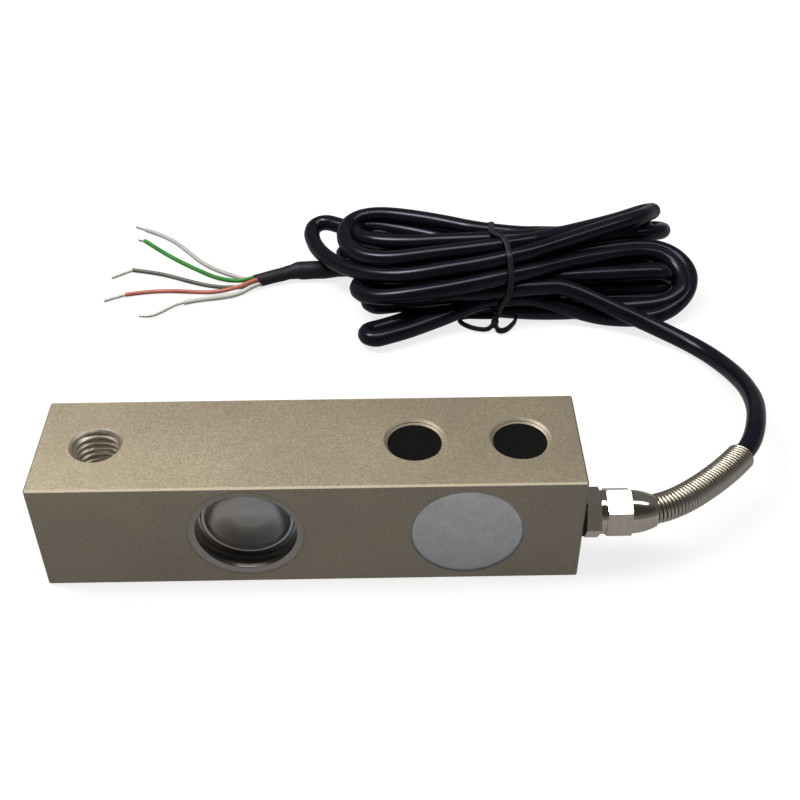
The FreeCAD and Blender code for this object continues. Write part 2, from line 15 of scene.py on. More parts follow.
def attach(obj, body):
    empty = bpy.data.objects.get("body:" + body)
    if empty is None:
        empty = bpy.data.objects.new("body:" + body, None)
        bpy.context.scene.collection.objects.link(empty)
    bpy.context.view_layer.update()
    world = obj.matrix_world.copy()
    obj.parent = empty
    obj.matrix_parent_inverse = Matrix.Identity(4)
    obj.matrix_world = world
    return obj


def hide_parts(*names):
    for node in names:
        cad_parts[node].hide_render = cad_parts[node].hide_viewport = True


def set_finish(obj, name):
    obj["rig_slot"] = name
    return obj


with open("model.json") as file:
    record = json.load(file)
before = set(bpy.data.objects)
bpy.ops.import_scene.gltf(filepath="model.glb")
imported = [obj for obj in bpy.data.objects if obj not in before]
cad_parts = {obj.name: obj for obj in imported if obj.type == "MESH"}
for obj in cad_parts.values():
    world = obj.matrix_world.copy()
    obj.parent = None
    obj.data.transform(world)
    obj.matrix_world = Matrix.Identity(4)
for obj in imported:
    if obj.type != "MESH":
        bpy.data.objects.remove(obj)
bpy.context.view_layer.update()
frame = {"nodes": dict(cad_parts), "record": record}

nodes = frame["nodes"]
MM = 0.001
print("frame loaded with", len(nodes), "nodes")

# %% [markdown]
# ## Camera
# The picture looks down on the block at about forty degrees, with its long side nearly level. A camera's
# own axes are right, up and back, so three crossed arrows give its turn and no angle has to be guessed.

# %% Camera
eye = np.array((18.77, -207.94, 218.76))
back = -np.array((0.011, 0.7659, -0.6429))
back /= np.linalg.norm(back)
right = np.cross((0.0144, 0.6427, 0.766), back)
right /= np.linalg.norm(right)
camera_data = bpy.data.cameras.new("picture_camera")
camera_data.lens = 52.49
camera_data.sensor_width = 36.0
camera_data.clip_start = 0.01
camera = bpy.data.objects.new("picture_camera", camera_data)
camera.matrix_world = Matrix(np.r_[np.c_[right, np.cross(back, right), back, eye * MM], [[0, 0, 0, 1]]])
bpy.context.scene.collection.objects.link(camera)
bpy.context.scene.camera = camera
print("camera looks along", np.round(-back, 3))

# %% [markdown]
# ## Floor
# The block lies on a white table that glows faintly, so shadows on it stay pale. Far away the table curves
# up like a paper sweep and is the background of a low view too. A dark card under the block is painted
# shade: reflections and bounced light pass it by, and it keeps the holes black. Like every new surface here,
# the sweep is a grid of points: its height grows with the square of the distance beyond the flat part.

# %% Floor and card
def surface(name, grid, close_u=False, close_v=False, cap_start=False, cap_end=False):
    """Quads over a grid of points in millimetres: grid[i, j] is joined to its neighbours along i and along j.
    close_u joins the last row to the first and close_v the last column to the first. A cap is a fan from
    the middle of the first or last row to that row."""
    rows, columns = grid.shape[:2]
    index = np.arange(rows * columns).reshape(rows, columns)
    if close_u:
        index = np.vstack([index, index[:1]])
    if close_v:
        index = np.hstack([index, index[:, :1]])
    quads = np.stack([index[:-1, :-1], index[:-1, 1:], index[1:, 1:], index[1:, :-1]], -1).reshape(-1, 4)
    points = grid.reshape(-1, 3)
    faces = quads.tolist()
    for wanted, row, ring in ((cap_start, 0, index[0]), (cap_end, -1, index[-1][::-1])):
        if wanted:
            middle = len(points)
            points = np.vstack([points, grid[row].mean(0)])
            faces += np.stack([np.full(len(ring) - 1, middle), ring[1:], ring[:-1]], -1).tolist()
    mesh = bpy.data.meshes.new(name)
    mesh.from_pydata((points * MM).tolist(), [], faces)
    mesh.polygons.foreach_set("use_smooth", np.ones(len(mesh.polygons), bool))
    mesh.update()
    piece = bpy.data.objects.new(name, mesh)
    bpy.context.scene.collection.objects.link(piece)
    return piece


SWEEP_RADIUS = 3000.0
FLAT_RADIUS = 900.0
SWEEP_HEIGHT = 2200.0
FLOOR_Z = -0.05
CARD_Z = -0.03
CARD_HALF = np.array((63.0, 14.0))
out = SWEEP_RADIUS * np.linspace(0.02, 1.0, 48)[:, None] ** 2
turn = np.linspace(0, 2 * np.pi, 96, endpoint=False)
climb = np.clip((out - FLAT_RADIUS) / (SWEEP_RADIUS - FLAT_RADIUS), 0, 1)
rise = FLOOR_Z + SWEEP_HEIGHT * climb ** 2 + 0 * turn
sweep = np.stack([out * np.cos(turn), out * np.sin(turn), rise], -1)
floor = surface("floor", sweep[:, ::-1], close_v=True, cap_start=True)
corners = np.array([[(-1, 1), (-1, -1)], [(1, 1), (1, -1)]]) * CARD_HALF
# Painted shade: the dark card stands for the shade under the block.
card = surface("shade_card", np.concatenate([corners, np.full((2, 2, 1), CARD_Z)], -1))
for stage in (floor, card):
    stage.visible_glossy = False
    stage.visible_diffuse = False
floor.visible_shadow = False
print("floor and card in place")

# %% [markdown]
# ## Lamps
# A wide lamp hangs overhead, with a smaller one to the left and a strip to the right: on a round black cable
# they make thin bright lines just above the middle of each strand. A very narrow lamp in front shines into
# the threaded hole.

# %% Lamps
def lamp(name, place, aim, size, watts, colour):
    """A flat soft lamp at place that faces the point aim. Its size is a width and a height."""
    data = bpy.data.lights.new(name, "AREA")
    data.shape = "RECTANGLE"
    data.size, data.size_y = size[0] * MM, size[1] * MM
    data.energy = watts
    data.color = colour
    away = np.array(place, float) - aim
    away /= np.linalg.norm(away)
    side = np.cross((0, 1, 0), away)
    side /= np.linalg.norm(side)
    light = bpy.data.objects.new(name, data)
    light.matrix_world = Matrix(
        np.r_[np.c_[side, np.cross(away, side), away, np.array(place) * MM], [[0, 0, 0, 1]]]
    )
    bpy.context.scene.collection.objects.link(light)
    return light


WARM = (1.0, 0.96, 0.88)
lamp("overhead_lamp", (-150, 60, 760), (-150, 61, 0), (760, 300), 4.0, WARM)
lamp("left_lamp", (-420, 120, 700), (-40, 0, 30), (220, 220), 2.7, WARM)
lamp("right_strip", (480, 60, 740), (480, 61, 0), (440, 160), 1.1, WARM)
thread_lamp = lamp("thread_lamp", (-75, -230, 285), (-51, 4, 25), (8, 8), 0.0008, (1.0, 0.96, 0.96))
thread_lamp.data.spread = np.radians(1.2)
print("lamps lit")

# %% [markdown]
# ## Room
# What a bright face mirrors is mostly the room. It is dim, and its shade changes with height: one row of
# shades in front, which gives the front side its tone, and another behind, with a soft change between them.

# %% Room
world = bpy.data.worlds.new("dim_room")
world.use_nodes = True
room = world.node_tree
direction = room.nodes.new("ShaderNodeTexCoord")
compass = room.nodes.new("ShaderNodeSeparateXYZ")
room.links.new(direction.outputs["Generated"], compass.inputs["Vector"])


def room_side(shades):
    """The room's brightness against height: 0 is straight down, 0.5 the horizon and 1 straight up."""
    level = room.nodes.new("ShaderNodeMapRange")
    level.inputs["From Min"].default_value = -1.0
    room.links.new(compass.outputs["Z"], level.inputs["Value"])
    ramp = room.nodes.new("ShaderNodeValToRGB")
    ramp.color_ramp.elements.remove(ramp.color_ramp.elements[1])
    for number, (at, shade) in enumerate(shades):
        stop = ramp.color_ramp.elements[0] if number == 0 else ramp.color_ramp.elements.new(at)
        stop.color = (*shade, 1)
    room.links.new(level.outputs["Result"], ramp.inputs["Fac"])
    return ramp.outputs["Color"]


low = [(0.0, (0.27, 0.268, 0.275)), (0.46, (0.335, 0.335, 0.345))]
front = room_side(
    low + [(0.54, (0.17, 0.165, 0.16)), (0.62, (0.13, 0.125, 0.12)), (0.74, (0.045, 0.045, 0.047))]
)
rear = room_side(low + [(0.56, (0.12, 0.12, 0.125)), (0.8, (0.14, 0.14, 0.145)), (1.0, (0.1, 0.1, 0.105))])
rearward = room.nodes.new("ShaderNodeMapRange")
rearward.inputs["From Min"].default_value = -0.3
rearward.inputs["From Max"].default_value = 0.3
mixed = room.nodes.new("ShaderNodeMix")
mixed.data_type = "RGBA"
room.links.new(compass.outputs["Y"], rearward.inputs["Value"])
room.links.new(rearward.outputs["Result"], mixed.inputs["Factor"])
room.links.new(front, mixed.inputs["A"])
room.links.new(rear, mixed.inputs["B"])
room.links.new(mixed.outputs["Result"], room.nodes["Background"].inputs["Color"])
bpy.context.scene.world = world
bpy.context.scene.view_settings.view_transform = "Standard"
print("room in place")

# %% [markdown]
# ## The cable's route
# A cable is a fixed length of something springy, so it is drawn as one smooth spline whose control points
# are the route's points. It leaves the gland inside its spring, dips to the floor, rises over the hank's
# lower strand into the tie, and after the last fold leaves again to its stripped end.

# %% The cable's lead and tail
CABLE = 5.2
lead = [
    (60.0, -9.6, 15.9), (74.0, -9.6, 15.9), (80.6, -9.5, 15.9), (86.2, -8.1, 15.8), (92.2, -4.8, 15.65),
    (99.4, 0.7, 15.4), (106.6, 7.4, 15.05), (113.0, 14.9, 14.65), (117.0, 24.0, 14.0), (120.3, 36.1, 11.3),
    (120.9, 48.9, 7.7), (118.8, 61.2, 4.4), (113.2, 72.2, 2.9), (101.4, 81.4, 4.2), (90.3, 85.9, 7.4),
    (74.6, 92.2, 12.2), (67.0, 91.2, 12.6),
]
tail = [(34.0, 109.5, 7.5), (22.0, 114.2, 5.2), (9.0, 116.9, 3.4), (-9.3, 116.5, 3.1)]
print(len(lead), "points to the hank and", len(tail), "after it")

# %% [markdown]
# ## The hank
# The rest of the cable is folded to and fro and tied in the middle. Every pass through the tie has a letter
# and its own place there, as packed strands do, and a fold is named by the two passes that it joins.

# %% Places in the tie
TIE_X = 54.4
places = {
    "a": (92.8, 22.0), "b": (98.0, 23.6), "c": (103.2, 22.7), "h": (108.8, 21.8),
    "d": (89.3, 17.7), "e": (94.8, 17.4), "f": (100.0, 17.3), "g": (105.2, 17.3),
    "i": (89.8, 12.6), "j": (95.0, 12.6), "k": (100.2, 12.4), "l": (105.4, 12.3), "m": (110.6, 12.6),
    "n": (91.8, 7.7), "o": (97.0, 7.5), "p": (102.2, 7.4), "q": (107.4, 7.4), "r": (112.6, 7.5),
    "s": (93.6, 2.6), "t": (98.9, 2.6), "u": (104.2, 2.6), "v": (109.5, 2.6), "w": (114.8, 2.6),
}
order = "ip pj je en nt tk kd ds so ou uv vr rw wm ma ab bh hg gc cf fl lq".split()
print(len(places), "passes and", len(order), "folds")

# %% [markdown]
# ### Outer folds
# The folds on the outside show most of their way, so they are led point by point.

# %% The outer folds
outer_folds = {
    "ip": [(38.5, 91.7, 9.4), (30.8, 92.1, 7.6), (24.4, 92.1, 6.4), (19.2, 92.1, 5.7), (15.6, 92.2, 5.4),
           (13.3, 94.4, 5.2), (13.3, 97.6, 5.0), (15.6, 99.8, 4.9), (19.0, 99.9, 4.9), (23.4, 100.1, 5.2),
           (28.4, 100.4, 5.8), (36.6, 101.1, 6.7)],
    "en": [(71.2, 101.3, 16.5), (79.4, 105.2, 15.8), (87.6, 108.5, 15.0), (95.6, 111.0, 14.3),
           (102.8, 112.6, 13.5), (108.6, 112.4, 12.4), (112.9, 110.0, 11.2), (115.6, 106.0, 9.9),
           (116.3, 101.3, 8.5), (114.8, 96.4, 7.1), (111.4, 92.1, 5.4), (106.6, 88.9, 3.7),
           (100.3, 87.6, 2.7), (93.2, 87.6, 2.6), (85.5, 88.5, 2.9), (77.8, 90.2, 4.4), (70.2, 91.9, 6.4)],
    "nt": [(39.2, 87.8, 5.1), (31.8, 84.3, 4.4), (25.0, 80.8, 4.1), (19.0, 78.4, 4.0), (16.0, 77.2, 3.9),
           (13.4, 78.1, 3.7), (12.3, 80.5, 3.3), (13.2, 82.9, 3.0), (16.2, 84.4, 2.7), (20.5, 86.5, 2.6),
           (25.2, 89.0, 2.6), (31.0, 92.4, 2.6), (38.3, 95.7, 2.6)],
    "kd": [(37.4, 101.3, 10.9), (29.3, 102.2, 10.2), (21.8, 102.5, 9.8), (15.6, 102.2, 9.5),
           (11.4, 101.1, 8.9), (9.7, 98.7, 8.5), (10.3, 95.5, 8.6), (13.0, 92.2, 9.4), (17.6, 89.6, 10.6),
           (23.7, 88.1, 12.2), (30.9, 87.4, 13.9), (38.6, 87.1, 15.5)],
    "ds": [(70.5, 95.9, 17.3), (78.6, 99.8, 16.7), (86.8, 103.2, 15.9), (94.6, 106.3, 15.0),
           (101.3, 108.6, 13.9), (106.8, 108.8, 12.6), (110.7, 106.6, 11.5), (112.9, 102.8, 10.4),
           (113.4, 98.5, 9.1), (112.0, 94.6, 7.7), (108.7, 92.0, 6.2), (103.5, 91.6, 4.9),
           (96.7, 92.5, 3.7), (88.9, 92.9, 2.8), (80.5, 92.2, 2.6), (71.8, 91.8, 2.6)],
    "ma": [(38.7, 115.5, 13.3), (30.8, 118.5, 13.5), (22.8, 120.7, 13.6), (15.0, 122.2, 13.7),
           (8.2, 124.6, 13.6), (3.1, 128.1, 13.3), (-0.2, 130.5, 12.9), (-2.8, 131.0, 12.4),
           (-4.9, 129.6, 11.8), (-5.7, 127.0, 11.3), (-5.2, 123.3, 10.8), (-3.4, 117.6, 10.7),
           (0.0, 111.7, 11.0), (4.5, 106.1, 11.7), (10.0, 101.1, 12.7), (16.0, 96.8, 14.0),
           (22.6, 93.9, 15.5), (29.8, 92.4, 17.3), (37.6, 92.1, 19.1)],
    "ab": [(70.5, 99.5, 22.6), (78.3, 103.6, 22.6), (86.1, 107.8, 22.6), (93.6, 111.5, 22.7),
           (100.2, 115.2, 22.5), (103.4, 119.1, 21.2), (105.4, 122.4, 20.0), (107.3, 124.8, 19.1),
           (107.2, 127.0, 18.0), (105.4, 128.3, 16.9), (103.0, 128.0, 16.4), (100.9, 125.9, 17.0),
           (95.9, 121.9, 17.9), (89.7, 117.4, 19.0), (82.8, 112.3, 20.5), (75.7, 107.5, 21.8),
           (68.7, 103.2, 22.9)],
    "bh": [(36.9, 97.7, 21.5), (28.6, 98.1, 20.1), (21.1, 98.8, 18.7), (14.8, 100.9, 17.7),
           (10.1, 104.3, 17.2), (7.0, 108.8, 17.1), (5.6, 113.7, 17.5), (6.0, 118.3, 17.9),
           (8.0, 122.0, 18.4), (11.8, 124.2, 18.9), (17.1, 124.5, 19.3), (23.4, 122.7, 19.8),
           (30.6, 119.6, 20.4), (38.4, 116.0, 20.9)],
    "hg": [(68.2, 110.3, 19.9), (75.1, 113.4, 17.7), (82.3, 117.3, 15.3), (89.6, 121.5, 12.9),
           (96.3, 125.7, 10.7), (102.1, 129.4, 9.1), (106.9, 131.1, 8.5), (110.5, 130.7, 8.7),
           (112.2, 128.5, 9.7), (111.8, 125.3, 11.2), (109.4, 121.9, 12.8), (104.5, 119.4, 14.0),
           (97.4, 117.4, 14.7), (89.2, 114.9, 15.5), (80.5, 112.2, 16.3), (71.7, 109.6, 17.0)],
    "gc": [(38.2, 113.6, 16.5), (30.5, 117.8, 16.0), (23.3, 121.1, 15.6), (17.3, 123.1, 15.5),
           (12.6, 123.3, 15.7), (9.8, 121.3, 16.2), (9.3, 117.8, 16.8), (11.0, 113.5, 17.4),
           (15.6, 109.9, 18.2), (22.4, 107.3, 19.2), (29.8, 105.5, 20.3), (37.8, 104.5, 21.4)],
}
print(len(outer_folds), "outer folds")

# %% [markdown]
# ### Inner folds
# An inner fold is mostly hidden, so it only has the place of its tip and half of its opening. It is half of a
# stretched octagon, and because a quadratic spline inside an octagon is nearly round, the bend is smooth.

# %% The inner folds
SHOULDER = 1.6
CORNER = 0.414
FAN_OUT = (0.58, 0.66, 0.66)
inner_folds = {
    "pj": ((108.0, 101.0, 8.6), (0, 1.6, -3.4)),
    "je": ((22.0, 105.0, 10.0), (0, -2.5, -3.0)),
    "tk": ((111.5, 103.5, 5.8), (0, -2.0, -3.2)),
    "so": ((24.0, 98.5, 5.5), (0, 1.2, -2.9)),
    "ou": ((109.0, 103.0, 4.8), (0, -4.0, 1.4)),
    "uv": ((16.0, 108.0, 2.8), (0, -4.0, 0)),
    "vr": ((101.0, 113.4, 5.0), (0, 2.5, -2.4)),
    "rw": ((5.0, 121.5, 6.0), (0, -2.0, 3.0)),
    "wm": ((104.5, 121.6, 5.8), (0, -1.6, -3.2)),
    "cf": ((105.0, 124.0, 12.5), (0, -2.2, 2.2)),
    "fl": ((11.0, 113.5, 11.0), (0, -0.6, 3.6)),
    "lq": ((108.0, 109.0, 8.8), (0, 1.4, 2.8)),
}


def leg(place, tip, half, out):
    """One leg of an inner fold, from the tie to the fold's tip. The bend is half of an octagon that points
    along out. Counted in halves of the opening, it starts SHOULDER before the tip, has a corner 1 - CORNER
    before it and another at the tip itself, CORNER to the side. A point on the way fans the leg out early."""
    tie = np.array((TIE_X, *places[place]))
    reach = np.linalg.norm(half) * out
    shoulder = tip + half - SHOULDER * reach
    on_the_way = tie + (shoulder - tie) * FAN_OUT
    return [on_the_way, shoulder, tip + half - (1 - CORNER) * reach, tip + CORNER * half]


def inner_fold(ends):
    """The points of an inner fold. It points from the middle of its two passes to its tip, and its opening is
    turned square to that direction."""
    tip, half = np.array(inner_folds[ends], float)
    middle = np.r_[TIE_X, (np.array(places[ends[0]]) + places[ends[1]]) / 2]
    out = (tip - middle) / np.linalg.norm(tip - middle)
    square = half - out * (half @ out)
    half = square * np.linalg.norm(half) / np.linalg.norm(square)
    return np.array([*leg(ends[0], tip, half, out), *leg(ends[1], tip, -half, out)[::-1]])


print(len(inner_folds), "inner folds")

# %% [markdown]
# ### The whole hank
# Joined in order, the folds make one line. In the tie a strand keeps the mean direction of its two legs, so
# it has no kink there, and no strand sinks into the table.

# %% The whole hank
GRIP = 7.0


def through_tie(place, before, after):
    """Two points of a strand, GRIP before and after the tie. The line through them has the mean slope of the
    strand's two legs."""
    tie = np.array((TIE_X, *places[place]))
    slope = (tie - before) / abs(tie[0] - before[0]) + (after - tie) / abs(after[0] - tie[0])
    return [tie - GRIP / 2 * slope, tie + GRIP / 2 * slope]


hank = []
before = np.array(lead[-1])
for ends in order:
    fold = np.array(outer_folds[ends]) if ends in outer_folds else inner_fold(ends)
    hank += [*through_tie(ends[0], before, fold[0]), *fold]
    before = fold[-1]
hank += through_tie(order[-1][1], before, np.array(tail[0]))
hank = np.array(hank)
hank[:, 2] = np.maximum(hank[:, 2], CABLE / 2)
print("hank of", len(hank), "points")

# %% [markdown]
# ## Laying a cord
# A cord is a curve with a round bevel. The order and the clamped ends are set after the points are there,
# because a spline that has too few points for its order falls back to straight runs.

# %% The cable
def cord_curve(name, points, diameter, steps=6, ring=4):
    """One open quadratic NURBS spline with these control points, in millimetres, as a round cord."""
    curve = bpy.data.curves.new(name, "CURVE")
    curve.dimensions = "3D"
    line = curve.splines.new("NURBS")
    line.points.add(len(points) - 1)
    line.points.foreach_set("co", np.c_[np.array(points) * MM, np.ones(len(points))].ravel())
    line.points.foreach_set("radius", np.full(len(points), diameter / 2 * MM))
    line.order_u = 3
    line.use_endpoint_u = True
    line.use_smooth = True
    curve.resolution_u = steps
    curve.bevel_depth = 1.0
    curve.bevel_resolution = ring
    curve.use_fill_caps = True
    cord = bpy.data.objects.new(name, curve)
    bpy.context.scene.collection.objects.link(cord)
    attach(cord, "root")
    return cord


def centreline(cord):
    """The points of a cord's spline, in millimetres, read from a copy of its curve with no bevel."""
    bare = cord.data.copy()
    bare.bevel_depth = 0.0
    holder = bpy.data.objects.new("centreline", bare)
    mesh = bpy.data.meshes.new_from_object(holder)
    points = np.empty(len(mesh.vertices) * 3)
    mesh.vertices.foreach_get("co", points)
    bpy.data.objects.remove(holder)
    bpy.data.meshes.remove(mesh)
    return points.reshape(-1, 3) / MM


def run_length(line):
    """The distance from the start to each point of a line of points."""
    return np.r_[0.0, np.cumsum(np.linalg.norm(np.diff(line, axis=0), axis=1))]


cable = cord_curve("cable", np.vstack([lead, hank, tail]), CABLE)
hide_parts("cable_in_gland", "cable_lead", "cable_hank", "cable_tail")
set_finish(cable, "cable_jacket")
cable_line = centreline(cable)
cable_length = run_length(cable_line)[-1]
print("cable length", round(cable_length, 1), "mm in", len(cable_line), "points")

# %% [markdown]
# ## Strain relief spring
# The spring is close wound from bright wire and bends with the cable inside it. It is a helix round the
# cable's own line: at each point along the line the winding has turned once for every pitch, and the place
# on the helix is that far round a circle across the line. A round wire is carried along the helix, a little
# thinner than the pitch, so that a dark line shows between the turns.

# %% The spring
def frames(line, up=(0.0, 0.0, 1.0)):
    """The direction along a line at each point and two across it: to the side, and the one nearest to up."""
    forward = np.gradient(line, axis=0)
    forward /= np.linalg.norm(forward, axis=1)[:, None]
    rise = np.broadcast_to(up, line.shape)
    rise = rise - forward * (forward * rise).sum(1)[:, None]
    rise /= np.linalg.norm(rise, axis=1)[:, None]
    return forward, np.cross(forward, rise), rise


def tube(name, line, radius, sides, up=(0.0, 0.0, 1.0)):
    """A round wire: circles of the given radius set across a line of points, closed at both ends."""
    forward, aside, rise = frames(line, up)
    angle = np.linspace(0, 2 * np.pi, sides, endpoint=False)
    ring = np.cos(angle)[None, :, None] * aside[:, None] + np.sin(angle)[None, :, None] * rise[:, None]
    return surface(name, line[:, None] + radius * ring, close_v=True, cap_start=True, cap_end=True)


def sample(line, distances):
    """The points at given distances along a line of points."""
    lengths = run_length(line)
    return np.stack([np.interp(distances, lengths, line[:, column]) for column in range(3)], 1)


SPRING_START = 83.3
SPRING_LENGTH = 33.0
COIL_PITCH = 0.95
COIL_RADIUS = 3.29
WIRE = 0.91 * COIL_PITCH
TURNS = SPRING_LENGTH / COIL_PITCH
POINTS_PER_TURN = 26

# Along its first points the cable runs out of the gland, and x grows with its length.
out_of_gland = cable_line[:60]
first = np.interp(SPRING_START, out_of_gland[:, 0], run_length(out_of_gland))
axis = sample(cable_line, np.linspace(first, first + SPRING_LENGTH, int(TURNS * POINTS_PER_TURN)))
forward, aside, rise = frames(axis)
turned = np.linspace(0, 2 * np.pi * TURNS, len(axis))[:, None]
outward = np.cos(turned) * rise + np.sin(turned) * aside
helix = axis + COIL_RADIUS * outward
spring = tube("relief_spring", helix, WIRE / 2, sides=12, up=outward)
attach(spring, "root")
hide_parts("strain_relief_spring")
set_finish(spring, "spring_steel")
print("spring of", round(TURNS, 1), "turns")

# %% [markdown]
# ## Strips and twists
# A tie is a flat strip, and where its ends are wound together it is a twist. A strip is an oval carried along
# a line, and a twist is a bar with lobes that turn along it. Both follow a bent line that a few points lead.

# %% Strips and twists
SQUARENESS = 0.7


def ribbon(name, line, across, width, thickness, closed=False):
    """A flat strip with round edges: an oval carried along a line, its long axis along across. The cosine and
    the sine of the oval are raised to SQUARENESS, which makes its sides flatter than an ellipse's."""
    forward = np.gradient(line, axis=0)
    forward /= np.linalg.norm(forward, axis=1)[:, None]
    wide = across - forward * (across * forward).sum(1)[:, None]
    wide /= np.linalg.norm(wide, axis=1)[:, None]
    thin = np.cross(forward, wide)
    angle = np.linspace(0, 2 * np.pi, 14, endpoint=False)
    aside = np.sign(np.cos(angle)) * np.abs(np.cos(angle)) ** SQUARENESS * width / 2
    above = np.sign(np.sin(angle)) * np.abs(np.sin(angle)) ** SQUARENESS * thickness / 2
    grid = line[:, None] + aside[None, :, None] * wide[:, None] + above[None, :, None] * thin[:, None]
    return surface(name, grid, close_u=closed, close_v=True, cap_start=not closed, cap_end=not closed)


def bent_line(points, count):
    """A smooth line led by a few points: each stretch is the quadratic blend of three neighbours, with the
    weights (1-t)^2, 1+2t-2t^2 and t^2, halved."""
    led = np.vstack([points[:1], points, points[-1:]]).astype(float)
    place = np.linspace(0, len(points) - 1e-6, count)
    at, t = place.astype(int), (place % 1.0)[:, None]
    return ((1 - t) ** 2 * led[at] + (1 + 2 * t - 2 * t * t) * led[at + 1] + t * t * led[at + 2]) / 2


def twisted(name, line, radius, lobes, pitch, depth):
    """Strands twisted together: a round bar whose radius swells in lobes, which turn once in each pitch."""
    forward, aside, rise = frames(line)
    angle = np.linspace(0, 2 * np.pi, 36, endpoint=False)
    swell = np.abs(np.cos(lobes / 2 * (angle[None] - 2 * np.pi * run_length(line)[:, None] / pitch)))
    ring = np.cos(angle)[None, :, None] * aside[:, None] + np.sin(angle)[None, :, None] * rise[:, None]
    reach = radius * (1 - depth + depth * swell)
    return surface(name, line[:, None] + reach[..., None] * ring, close_v=True, cap_start=True, cap_end=True)


print("strips and twists ready")

# %% [markdown]
# ## Twist tie
# A flat plastic tie with a wire core is pulled round the waist of the hank and twisted on the near side, and
# its two ends are bent into small loops. Pulled tight, it takes the shape of a string round the strands: at
# each angle its distance from the middle is the least that clears every strand. Along the cable it wanders a
# little, as a hand-tied band does.

# %% The tie
def tight_loop(centres, radius, middle, angles):
    """The convex outline round circles, as a distance from middle at each angle: for every direction, the
    support is the farthest reach of any circle, and the outline is the least support over the cosine."""
    facing = np.linspace(0, 2 * np.pi, 720, endpoint=False)
    normal = np.stack([np.cos(facing), np.sin(facing)], 1)
    support = ((centres - middle) @ normal.T + radius).max(0)
    gap = np.cos(facing[None] - angles[:, None])
    reach = np.where(gap > 0.05, support[None] / np.maximum(gap, 0.05), np.inf)
    return reach.min(1)


def smoothed(values, width, ends):
    """Values averaged under a bell curve; past its ends the row goes on as ends says."""
    bell = np.hanning(width) / np.hanning(width).sum()
    return np.convolve(np.pad(values, width // 2, mode=ends), bell, "valid")


TIE_MIDDLE = np.array((102.0, 13.0))
TIE_SLACK = 0.35
TIE_LOWEST = 0.5
packed = np.array(list(places.values()))
angles = np.linspace(0, 2 * np.pi, 180, endpoint=False)
reach = tight_loop(packed, CABLE / 2 + TIE_SLACK, TIE_MIDDLE, angles)
loop_y = TIE_MIDDLE[0] + reach * np.cos(angles)
loop_z = np.maximum(TIE_MIDDLE[1] + reach * np.sin(angles), TIE_LOWEST)
wander = np.interp(
    np.degrees(angles), (0, 60, 92, 102, 112, 128, 150, 180, 205, 225, 270, 360),
    (-1.0, -2.0, -2.6, 0.2, 1.6, 2.0, 2.7, 2.4, 0.2, -0.8, -1.0, -1.0),
)
loop_x = TIE_X + smoothed(wander, 15, "wrap")
left_way = bent_line(np.array([
    (53.4, 89.6, 4.2), (52.6, 86.6, 2.2), (50.6, 84.9, 1.1), (47.5, 85.4, 1.0), (44.6, 86.8, 1.0),
    (42.4, 88.8, 1.0), (41.6, 91.0, 1.0), (44.0, 92.2, 1.0), (48.6, 91.6, 1.2), (52.4, 90.4, 2.0),
]), 90)
right_way = bent_line(np.array([
    (53.2, 86.4, 2.2), (53.4, 84.2, 1.3), (55.6, 84.0, 1.2), (58.0, 86.4, 1.3), (60.0, 89.8, 1.5),
    (59.6, 92.2, 2.2), (56.6, 92.4, 3.0), (54.2, 90.6, 3.6),
]), 80)
twist_way = bent_line(np.array([(53.6, 91.0, 6.2), (53.0, 88.4, 3.6), (52.6, 85.2, 1.7)]), 60)
along_cable = np.array((1.0, 0.0, 0.0))
upward = np.array((0.1, 0.35, 0.93))
band_line = np.stack([loop_x, loop_y, loop_z], 1)
band = ribbon("tie_band", band_line, along_cable, width=1.8, thickness=0.7, closed=True)
left_loop = ribbon("tie_left_loop", left_way, upward, width=1.5, thickness=1.1)
right_loop = ribbon("tie_right_loop", right_way, upward, width=1.9, thickness=0.9)
twist = twisted("tie_twist", twist_way, radius=1.25, lobes=2, pitch=3.6, depth=0.45)
tie_pieces = [band, left_loop, right_loop, twist]
for piece in tie_pieces:
    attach(piece, "root")
    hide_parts("hank_tie")
    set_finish(piece, "tie_wire")
print("tie reaches y", loop_y.min().round(1), "to", loop_y.max().round(1), "z to", loop_z.max().round(1))

# %% [markdown]
# ## Shrink sleeve
# Where the jacket ends, a heat shrunk sleeve grips it and the bundle of cores that comes out. It is wide over
# the jacket, steps down behind it, and is smooth but for the shallow folds that shrinking leaves at the step.
# It is one profile of radius against length, carried along the end of the cable and on past it, and its mouth
# is cut aslant. The folds are waves round and along it, strong at the step and gone a little way from it.

# %% The sleeve
OVER_JACKET = 12.0
PAST_JACKET = 15.0
VEER_LENGTH = 3.0
STEP_AT = 14.5
STEP_LENGTH = 2.6
profile = [
    (0, 2.66), (4.0, 3.0), (11.5, 3.04), (13.0, 2.9), (15.5, 2.4), (17.0, 2.28), (26.6, 2.16), (27.0, 2.05),
]
jacket_end = cable_line[-1]
before = cable_line[-1] - cable_line[-2]
before /= np.linalg.norm(before)
beyond = np.array((-0.94, -0.335, -0.055))
beyond /= np.linalg.norm(beyond)
ahead = np.linspace(0.0, PAST_JACKET, 91)[1:]
veer = np.clip(ahead / VEER_LENGTH, 0, 1)
veer = (veer * veer * (3 - 2 * veer))[:, None]
heading = (1 - veer) * before + veer * beyond
heading /= np.linalg.norm(heading, axis=1)[:, None]
over_jacket = sample(cable_line, np.linspace(cable_length - OVER_JACKET, cable_length, 70))
sleeve_line = np.vstack([over_jacket, jacket_end + np.cumsum(heading, axis=0) * (ahead[1] - ahead[0])])
forward, aside, rise = frames(sleeve_line)
length = run_length(sleeve_line)
along = length[:, None]
around = np.linspace(0, 2 * np.pi, 48, endpoint=False)
waves = 0.10 * np.sin(1.5 * along + 2 * np.sin(around)) + 0.06 * np.sin(2 * around - 0.7 * along)
ripple = np.exp(-((along - STEP_AT) / STEP_LENGTH) ** 2) * waves + 0.03 * np.sin(0.9 * along + around)
reach = smoothed(np.interp(length, *zip(*profile)), 11, "edge")[:, None] + ripple
